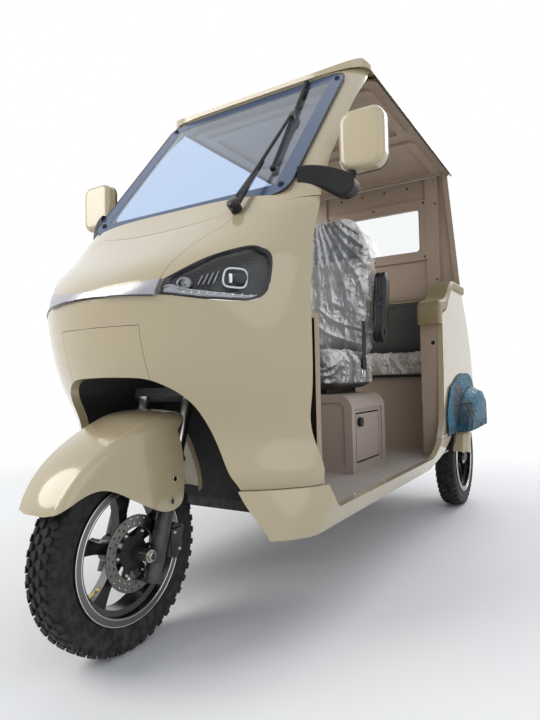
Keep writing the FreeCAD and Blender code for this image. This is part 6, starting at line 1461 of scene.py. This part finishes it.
# Webbing along a smooth run, with a top that is crowned a little.
def ribbon(name, points, across, width, thick):
    points = smoothRun(points)
    across = Vector(across).normalized()
    spots = []
    for k, point in enumerate(points):
        before, after = points[max(k - 1, 0)], points[min(k + 1, len(points) - 1)]
        way = (after - before).normalized()
        side = (across - way * across.dot(way)).normalized()
        up = way.cross(side)
        for u in belt["acrossShares"]:
            spots.append(point + side * u * width + up * thick * (0.25 - u * u))
        for u in belt["acrossShares"][::-1]:
            spots.append(point + side * u * width - up * thick * (0.75 + u * u))
    sides = 2 * len(belt["acrossShares"])
    return meshPiece(name, spots, quads(len(points), sides) + caps(len(points), sides),
                     "beltWebbing")


for side, tag in ((1, "Left"), (-1, "Right")):
    piece = ribbon("belt" + tag, [onSide(side, place) for place in belt["run"]],
                   onSide(side, belt["across"]), belt["flat"][0], belt["thick"])
    softBox("buckle" + tag, onSide(side, belt["buckle"]), belt["buckleSize"], "blackGloss",
            belt["buckleEdge"], turn=Matrix.Rotation(belt["lean"], 3, "X"))
    deep, tall = belt["loopHalf"]
    loop = [onSide(side, belt["loop"]) + Vector((0, deep * math.cos(a), tall * math.sin(a)))
            for a in turns(28)]
    tube("beltLoop" + tag, loop, belt["loopRadius"], "chromeRing", sides=10, closed=True)
print("belts hung")

# Cab and rear: seal round the rear window and a button on each of the tub's posts.
window = {"ring": (0.2475, 1.2905, 1.5195, 0.022), "depth": 0.9045, "seal": 0.0036}
post = {"place": (0.4180, -0.2, 0.788), "front": 0.56, "button": (0.0085, 0.0035)}
tube("windowSeal", [Vector((x, window["depth"], z)) for x, z in roundedRing(*window["ring"])],
     window["seal"], "softRubber", sides=8, closed=True)
tubSkin = surfaceOf(nodes["tub_liner"])
buttons = [castTo(tubSkin, onSide(side, post["place"]), (0, 1, 0), 1.2) for side in (-1, 1)]
heads("postButtons", [(hit, normal) for hit, normal in buttons if hit is not None
                      and hit.y < post["front"]], "blackMoulding", *post["button"], sides=20)

# Tail lamps: dark rim, and two lines across each lens.
tail = {"x": 0.331, "z": 0.835, "ring": (0.0270, -0.0700, 0.0700, 0.010), "start": 1.4,
        "front": 0.94, "rim": 0.0019, "rimProud": 0.0004, "line": 0.0013, "lineProud": 0.0002,
        "lineStart": 0.3075, "lineStep": 0.0078, "lineCount": 7, "lineHeights": (0.803, 0.868)}
tailSkin = surfaceOf(nodes["tail_lamps"])


def onTail(side, places, proud):
    hits = [castTo(tailSkin, (side * x, tail["start"], z), (0, -1, 0), 1.0)[0]
            for x, z in places]
    return [hit + Vector((0, proud, 0)) for hit in hits
            if hit is not None and hit.y > tail["front"]]


for side in (-1, 1):
    ring = onTail(side, [(tail["x"] + x, tail["z"] + z) for x, z in
                         roundedRing(*tail["ring"], steps=5)], tail["rimProud"])
    tube("tailRim%d" % numbered(side), ring, tail["rim"], "blackGloss", sides=8, closed=True)
    for k, z in enumerate(tail["lineHeights"]):
        line = onTail(side, [(tail["lineStart"] + tail["lineStep"] * n, z)
                             for n in range(tail["lineCount"])], tail["lineProud"])
        tube("tailLine%d%d" % (numbered(side), k), line, tail["line"], "blackGloss", sides=6)
bench = {"edge": ((0, 0.6035, 0.6485), (0.692, 0.006, 0.013)), "round": 0.002}
softBox("benchEdge", *bench["edge"], "blackMoulding", bench["round"])

# Brake levers, and the U-bolts that hold the axle to its springs.
lever = {"run": [(0.168, -0.602, 1.0135), (0.190, -0.607, 1.0125), (0.225, -0.602, 1.0110),
                 (0.262, -0.592, 1.0095), (0.288, -0.589, 1.0090)],
         "radius": 0.0062, "taper": 0.0020, "knob": 0.0052, "flat": 0.7}
uBolt = {"y": (0.895, 0.941), "x": (0.2485, 0.2815), "z": (0.268, 0.300, 0.330),
         "radius": 0.0042}
for side in (-1, 1):
    run = smoothRun([onSide(side, place) for place in lever["run"]])
    last = len(run) - 1
    radii = [lever["radius"] - lever["taper"] * k / last for k in range(last - 1)]
    tube("lever%d" % numbered(side), run, radii + [lever["knob"]] * 2, "darkLeg", "steering",
         flat=lever["flat"])
    for y in uBolt["y"]:
        for x in uBolt["x"]:
            tube("uBolt%d%d%d" % (numbered(side), y * 1000, x * 10000),
                 [onSide(side, (x, y, z)) for z in uBolt["z"]], uBolt["radius"], "zincBolt",
                 sides=10)
print("cab and rear details made")
